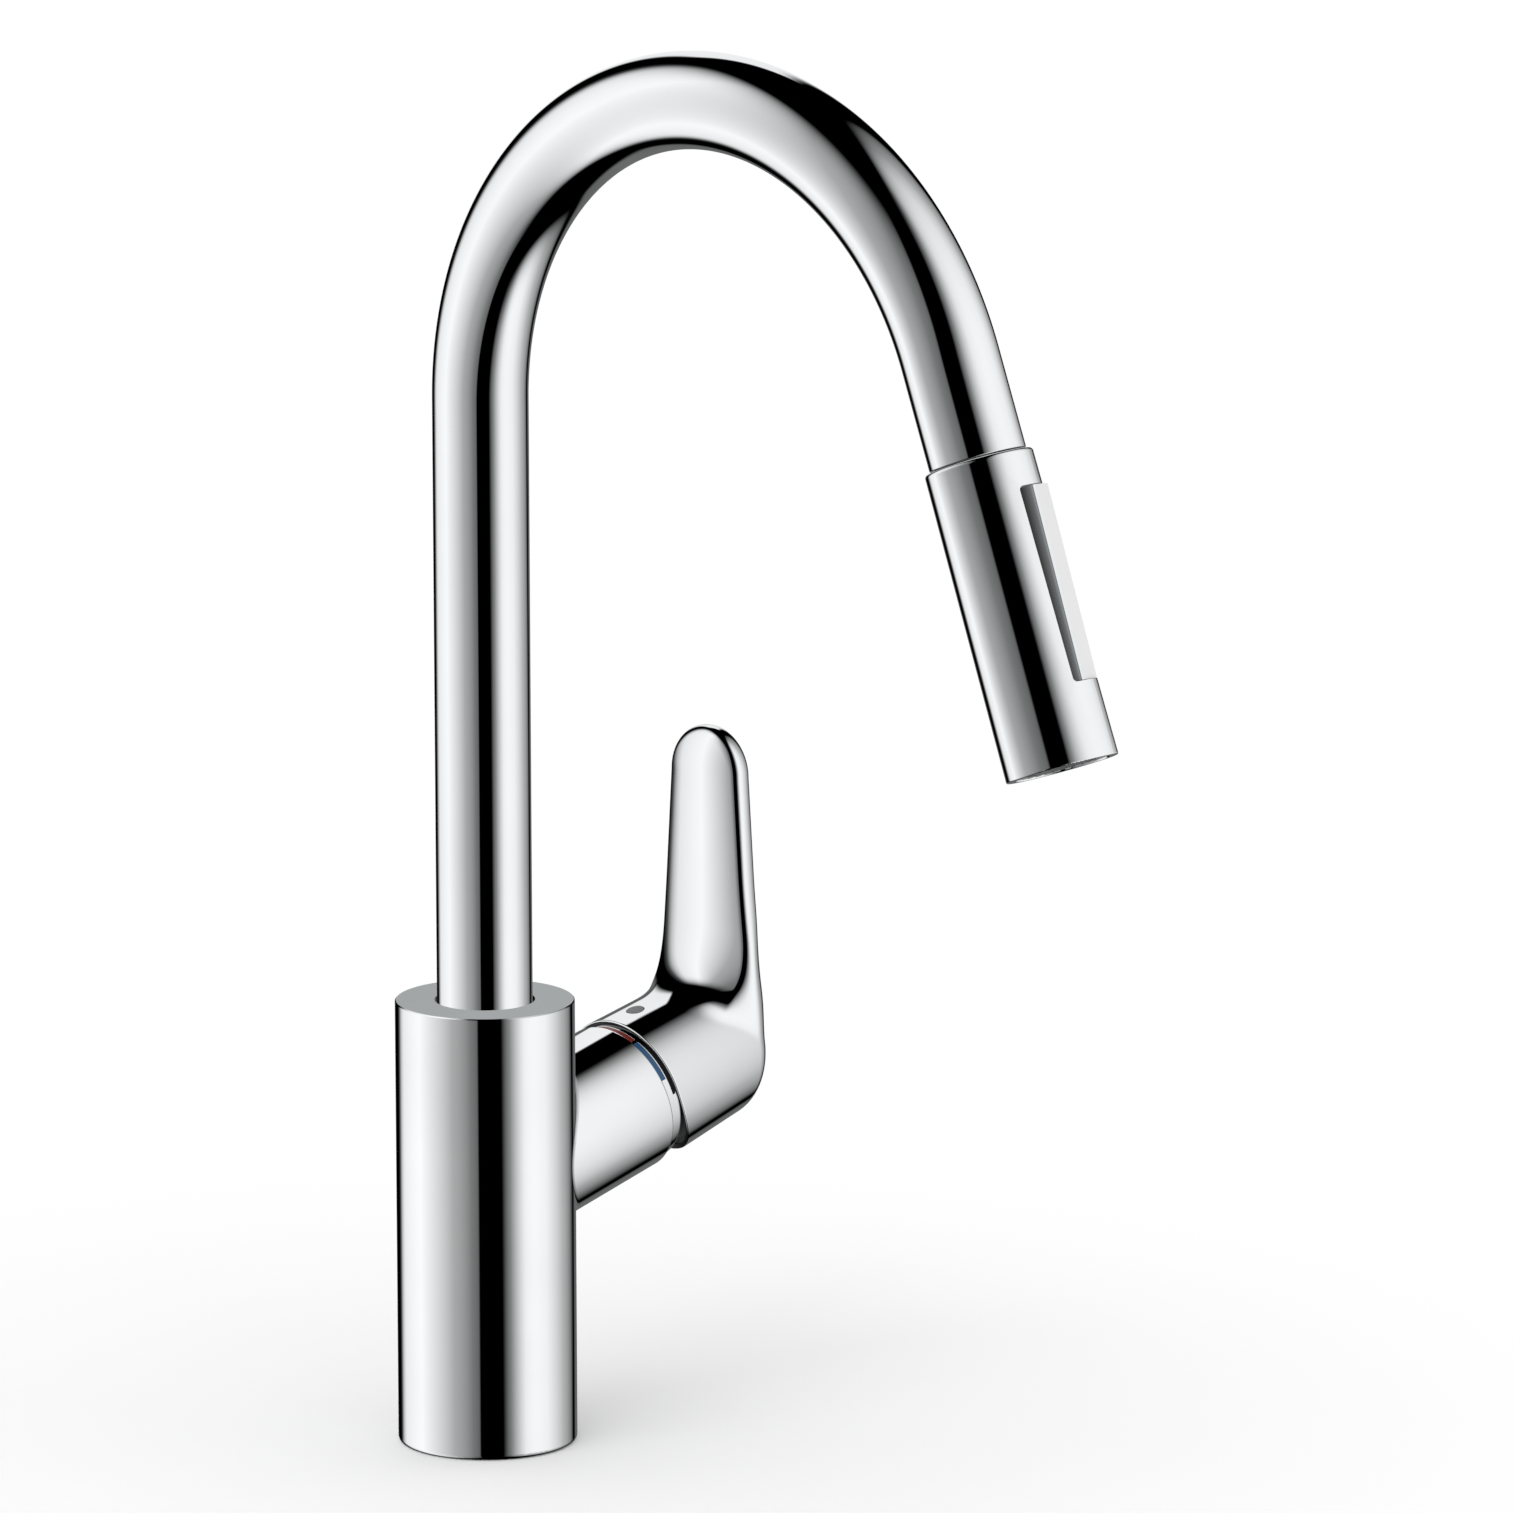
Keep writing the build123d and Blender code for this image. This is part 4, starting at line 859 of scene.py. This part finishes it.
# Hose: a braided sleeve with real strands, in a still length and one that is drawn out

HOSE_AROUND = 72
HOSE_STEP = 0.9
DRAWN_STEP = 0.55
DRAWN_CHECK = 0.02
BORE_SKIP = 6
BRAID_STRANDS = 24
BRAID_PITCH = 13.0
BRAID_DEPTH = 0.16
BRAID_ROUNDNESS = 0.6
HOSE_END = SEAM_PLACE - HOSE_END_INSET
DRAW_START = RISE + ARCH_LENGTH
DRAW_LENGTH = HOSE_END - DRAW_START


def braid_height(angle, length):
    """The relief of crossing strands, 0 to 1, at an angle and a length along the hose."""
    turns = BRAID_STRANDS / 2
    one = (angle / (2 * math.pi) + length / BRAID_PITCH) * turns
    other = (angle / (2 * math.pi) - length / BRAID_PITCH) * turns
    over = math.cos(math.pi * (one + other)) * math.cos(math.pi * (one - other)) > 0
    strand = one if over else other
    return abs(math.sin(math.pi * strand)) ** BRAID_ROUNDNESS


def hose_piece(name, places, lengths, body):
    """A braided tube through the given places, its braid laid out by the given lengths."""
    points = []
    for place, length in zip(places, lengths):
        points += spout_ring(place, HOSE_AROUND, lambda angle: (
            HOSE_RADIUS - BRAID_DEPTH * (1 - braid_height(angle, length))))
    for place in reversed(places[::BORE_SKIP] + places[-1:]):
        points += spout_ring(place, HOSE_AROUND, lambda angle: HOSE_BORE)
    faces = closed_grid(len(points) // HOSE_AROUND, HOSE_AROUND)
    return add_piece(name, points, faces, ["hose_braid"], body)


def drawn_length(place):
    """Where a place on the hose's straight end lies along the drawn-out hose."""
    share = min(max((place - DRAW_START) / DRAW_LENGTH, 0), 1)
    return place + HOSE_PULL * share * share * (3 - 2 * share)


def drawn_places():
    """Places on the hose's straight end that lie evenly once the hose is drawn out."""
    places = []
    place = DRAW_START
    while place < HOSE_END:
        places.append(place)
        target = drawn_length(place) + DRAWN_STEP
        while drawn_length(place) < target and place < HOSE_END:
            place += DRAWN_CHECK
    return places + [HOSE_END]


def build_hose():
    still = [k * HOSE_STEP for k in range(int(DRAW_START / HOSE_STEP))] + [DRAW_START]
    upper_hose = hose_piece("hose_upper", still, still, "spout")
    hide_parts("pull_out_hose")
    drawn = drawn_places()
    lower_hose = hose_piece("hose_drawn", drawn, [drawn_length(p) for p in drawn], None)
    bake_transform(lower_hose)


# Fixing thread below the worktop: a fine helical ridge on the shank

SHANK_RADIUS = 17.0
SHANK_BORE = 15.0
SHANK_BOTTOM = -70.0
SHANK_TOP = 13.0
SHANK_AROUND = 96
THREAD_TOP = -1.0
THREAD_PITCH = 1.5
THREAD_DEPTH = 0.45
THREAD_RINGS = 8
THREAD_SLOPE = 1.2
THREAD_FLOOR = 0.9
TOP_RUNOUT = 3.0
END_RUNOUT = 1.6
END_RUNOUT_START = 0.4
LEAD_LENGTH = 1.0
LEAD_DEPTH = 0.8


def build_shank():
    points = []
    rings = int((SHANK_TOP - SHANK_BOTTOM) / (THREAD_PITCH / THREAD_RINGS))
    for r in range(rings + 1):
        level = SHANK_BOTTOM + (SHANK_TOP - SHANK_BOTTOM) * r / rings
        runout = min(1, max(0, (THREAD_TOP - level) / TOP_RUNOUT),
                     (level - SHANK_BOTTOM + END_RUNOUT_START) / END_RUNOUT)
        lead = max(0.0, LEAD_LENGTH - (level - SHANK_BOTTOM)) * LEAD_DEPTH
        for k in range(SHANK_AROUND):
            phase = (level / THREAD_PITCH + k / SHANK_AROUND) % 1
            groove = 1 - abs(2 * phase - 1) * THREAD_SLOPE
            depth = THREAD_DEPTH * min(max(groove, 0), THREAD_FLOOR) * max(runout, 0)
            radius = SHANK_RADIUS - max(depth, lead)
            angle = 2 * math.pi * k / SHANK_AROUND
            points.append(Vector((radius * math.cos(angle), radius * math.sin(angle), level)))
    for level in (SHANK_TOP, SHANK_BOTTOM):
        for k in range(SHANK_AROUND):
            angle = 2 * math.pi * k / SHANK_AROUND
            points.append(Vector((SHANK_BORE * math.cos(angle), SHANK_BORE * math.sin(angle), level)))
    faces = closed_grid(len(points) // SHANK_AROUND, SHANK_AROUND)
    add_piece("shank_with_thread", points, faces, ["brass"], "base", ["threaded_shank"])


# CAD nodes: a finish by slot, and three nodes with painted light and shade of their own

OWN_FINISH = {"base_body": "body_chrome", "rocker_button": "button", "cover_ring": "ring_chrome_painted_shade"}


def finish_cad_nodes():
    for name, obj in NODES.items():
        for place in obj.material_slots:
            place.material = MATERIALS[OWN_FINISH.get(name, place.material.name.split(".")[0])]


def hide_from_reflections():
    """The pieces don't mirror each other, as in the photograph."""
    for obj in list(bpy.data.objects):
        if obj.type == "MESH":
            obj.visible_glossy = False


# Studio: panels that only the reflections see, a world, a key lamp and a floor

# Level directions to the right of the picture and towards the camera
PICTURE_RIGHT = Vector((0.70313, -0.71105, 0.0)).normalized()
PICTURE_NEAR = Vector((-0.71055, -0.70364, 0.0)).normalized()

PANEL_TONE = (0.985, 1.0, 1.005)
WHITE = (1, 1, 1, 1)
BLACK = (0, 0, 0, 1)
WORLD_DIFFUSE = 0.86

# The lamp's place counts right of the picture, nearer and up; its aim is in the row frame
LAMP_SIZE = 1.6
LAMP_ENERGY = 11.0
LAMP_PLACE = (-0.9, 1.3, 1.9)
LAMP_AIM = Vector((0, -0.08, 0.2))

FLOOR_HALF = 30.0
FLOOR_FADE_START = 0.12
FLOOR_FADE_END = 0.34


def studio_point(right, near, up):
    """A place in the studio, by metres to the right of the picture, nearer and higher."""
    return PICTURE_RIGHT * right + PICTURE_NEAR * near + Vector((0, 0, up))


def softbox(name, first, last, low, high, fades, levels):
    """An upright glowing panel from first to last, given as (right, near) of the picture.

    The brightness along it follows levels, and it fades out over the given lengths at its
    first, last, low and high edges.
    """
    corners = [studio_point(*first, low), studio_point(*last, low),
               studio_point(*last, high), studio_point(*first, high)]
    mesh = bpy.data.meshes.new(name)
    mesh.from_pydata(corners, [], [(0, 1, 2, 3)])
    layer = mesh.uv_layers.new(name="UVMap")
    for loop, uv in zip(layer.data, ((0, 0), (1, 0), (1, 1), (0, 1))):
        loop.uv = uv
    panel = new_object(name, mesh)
    material = bpy.data.materials.new(name)
    tree = emptied(material)
    place = node(tree, "ShaderNodeTexCoord").outputs["UV"]
    apart = node(tree, "ShaderNodeSeparateXYZ", Vector=place)
    along, up = apart.outputs[0], apart.outputs[1]
    stops = [(index / (len(levels) - 1), level) for index, level in enumerate(levels)]
    width = (corners[1] - corners[0]).length
    height = high - low
    fade_first, fade_last, fade_low, fade_high = fades
    strength = fade(tree, along, 0.0, fade_first / width)
    for factor in (fade(tree, along, 1.0, 1 - fade_last / width),
                   fade(tree, up, 0.0, fade_low / height),
                   fade(tree, up, 1.0, 1 - fade_high / height)):
        strength = maths(tree, "MULTIPLY", strength, factor)
    light = node(tree, "ShaderNodeEmission", Color=greys(tree, along, stops, PANEL_TONE),
                 Strength=strength)
    node(tree, "ShaderNodeOutputMaterial", Surface=light.outputs[0])
    mesh.materials.append(material)
    panel.visible_camera = False
    panel.visible_diffuse = False
    panel.visible_shadow = False
    panel.visible_volume_scatter = False


def build_softboxes():
    softbox("softbox_left", first=(-0.443, -0.706), last=(-0.092, 0.72), low=-1.18, high=1.19,
            fades=(0.42, 0.075, 1.15, 0.66), levels=(0.0, 0.12, 0.84, 1.0, 0.41, 0.19, 0.107))
    softbox("softbox_right", first=(0.266, 0.713), last=(0.451, -0.607), low=-0.65, high=1.64,
            fades=(0.59, 0.22, 0.62, 1.32), levels=(1.14, 0.7, 1.04, 0.91, 0.46, 0.24, 0.19))
    softbox("softbox_rear", first=(0.27, -0.84), last=(-0.22, -0.84), low=0.2, high=1.05,
            fades=(0.1, 0.1, 0.1, 0.1), levels=(0.85, 0.9, 0.85))
    softbox("fill_rear", first=(0.5, -0.84), last=(-0.25, -0.84), low=-1.0, high=0.22,
            fades=(0.12, 0.12, 0.4, 0.06), levels=(0.1, 0.15, 0.12))


def build_world():
    """White to the camera, black to reflections, and a soft light to the rest."""
    world = bpy.data.worlds.new("studio_world")
    bpy.context.scene.world = world
    tree = emptied(world)
    path = node(tree, "ShaderNodeLightPath")
    camera_white = node(tree, "ShaderNodeBackground", Color=WHITE, Strength=1.0)
    soft_light = node(tree, "ShaderNodeBackground", Color=WHITE, Strength=WORLD_DIFFUSE)
    dark = node(tree, "ShaderNodeBackground", Color=BLACK, Strength=1.0)
    unseen = mixed_shaders(tree, path.outputs["Is Glossy Ray"], soft_light, dark)
    seen = mixed_shaders(tree, path.outputs["Is Camera Ray"], unseen, camera_white)
    node(tree, "ShaderNodeOutputWorld", Surface=seen.outputs[0])


def build_key_lamp():
    lamp_data = bpy.data.lights.new("key_lamp", "AREA")
    lamp_data.shape = "SQUARE"
    lamp_data.size = LAMP_SIZE
    lamp_data.energy = LAMP_ENERGY
    lamp = new_object("key_lamp", lamp_data)
    lamp.location = studio_point(*LAMP_PLACE)
    aim = LAMP_AIM - lamp.location
    lamp.rotation_euler = aim.to_track_quat("-Z", "Y").to_euler()
    lamp.visible_glossy = False
    lamp.visible_camera = False


def build_floor():
    """A white floor with the object's shadow near it, which fades into the background."""
    mesh = bpy.data.meshes.new("floor")
    mesh.from_pydata([(-FLOOR_HALF, -FLOOR_HALF, 0), (FLOOR_HALF, -FLOOR_HALF, 0),
                      (FLOOR_HALF, FLOOR_HALF, 0), (-FLOOR_HALF, FLOOR_HALF, 0)],
                     [], [(0, 1, 2, 3)])
    floor = new_object("floor", mesh)
    material = bpy.data.materials.new("floor")
    tree = emptied(material)
    place = node(tree, "ShaderNodeTexCoord").outputs["Object"]
    reach = node(tree, "ShaderNodeVectorMath", {"operation": "LENGTH"})
    tree.links.new(place, reach.inputs[0])
    far = fade(tree, reach.outputs["Value"], FLOOR_FADE_START, FLOOR_FADE_END)
    paint = node(tree, "ShaderNodeBsdfDiffuse", Color=WHITE)
    glow = node(tree, "ShaderNodeEmission", Color=WHITE, Strength=1.0)
    both = mixed_shaders(tree, far, paint, glow)
    node(tree, "ShaderNodeOutputMaterial", Surface=both.outputs[0])
    mesh.materials.append(material)
    floor.visible_glossy = False


# Camera: place, line of sight, direction to the right and lens of the photographed view

CAMERA_PLACE = Vector((-2.670743, -2.751126, 1.021533))
CAMERA_SIGHT = Vector((0.69459, 0.68781, -0.21086))
CAMERA_RIGHT = Vector((0.70313, -0.71105, -0.00322))
CAMERA_LENS = 337.41
CAMERA_SENSOR = 36.0
CAMERA_FAR = 100.0


def build_camera():
    camera_data = bpy.data.cameras.new("camera")
    camera_data.sensor_width = CAMERA_SENSOR
    camera_data.lens = CAMERA_LENS
    camera_data.clip_end = CAMERA_FAR
    camera = new_object("camera", camera_data)
    sight = CAMERA_SIGHT.normalized()
    right = (CAMERA_RIGHT - sight * CAMERA_RIGHT.dot(sight)).normalized()
    up = right.cross(sight)
    turn = Matrix((right, up, -sight)).transposed().to_4x4()
    camera.matrix_world = Matrix.Translation(CAMERA_PLACE) @ turn
    bpy.context.scene.camera = camera


# The pieces, then the studio and the camera

build_spout()
build_handle()
build_hose()
build_shank()
finish_cad_nodes()
hide_from_reflections()

build_softboxes()
build_world()
build_key_lamp()
build_floor()
build_camera()
bpy.context.scene.view_settings.view_transform = "Standard"
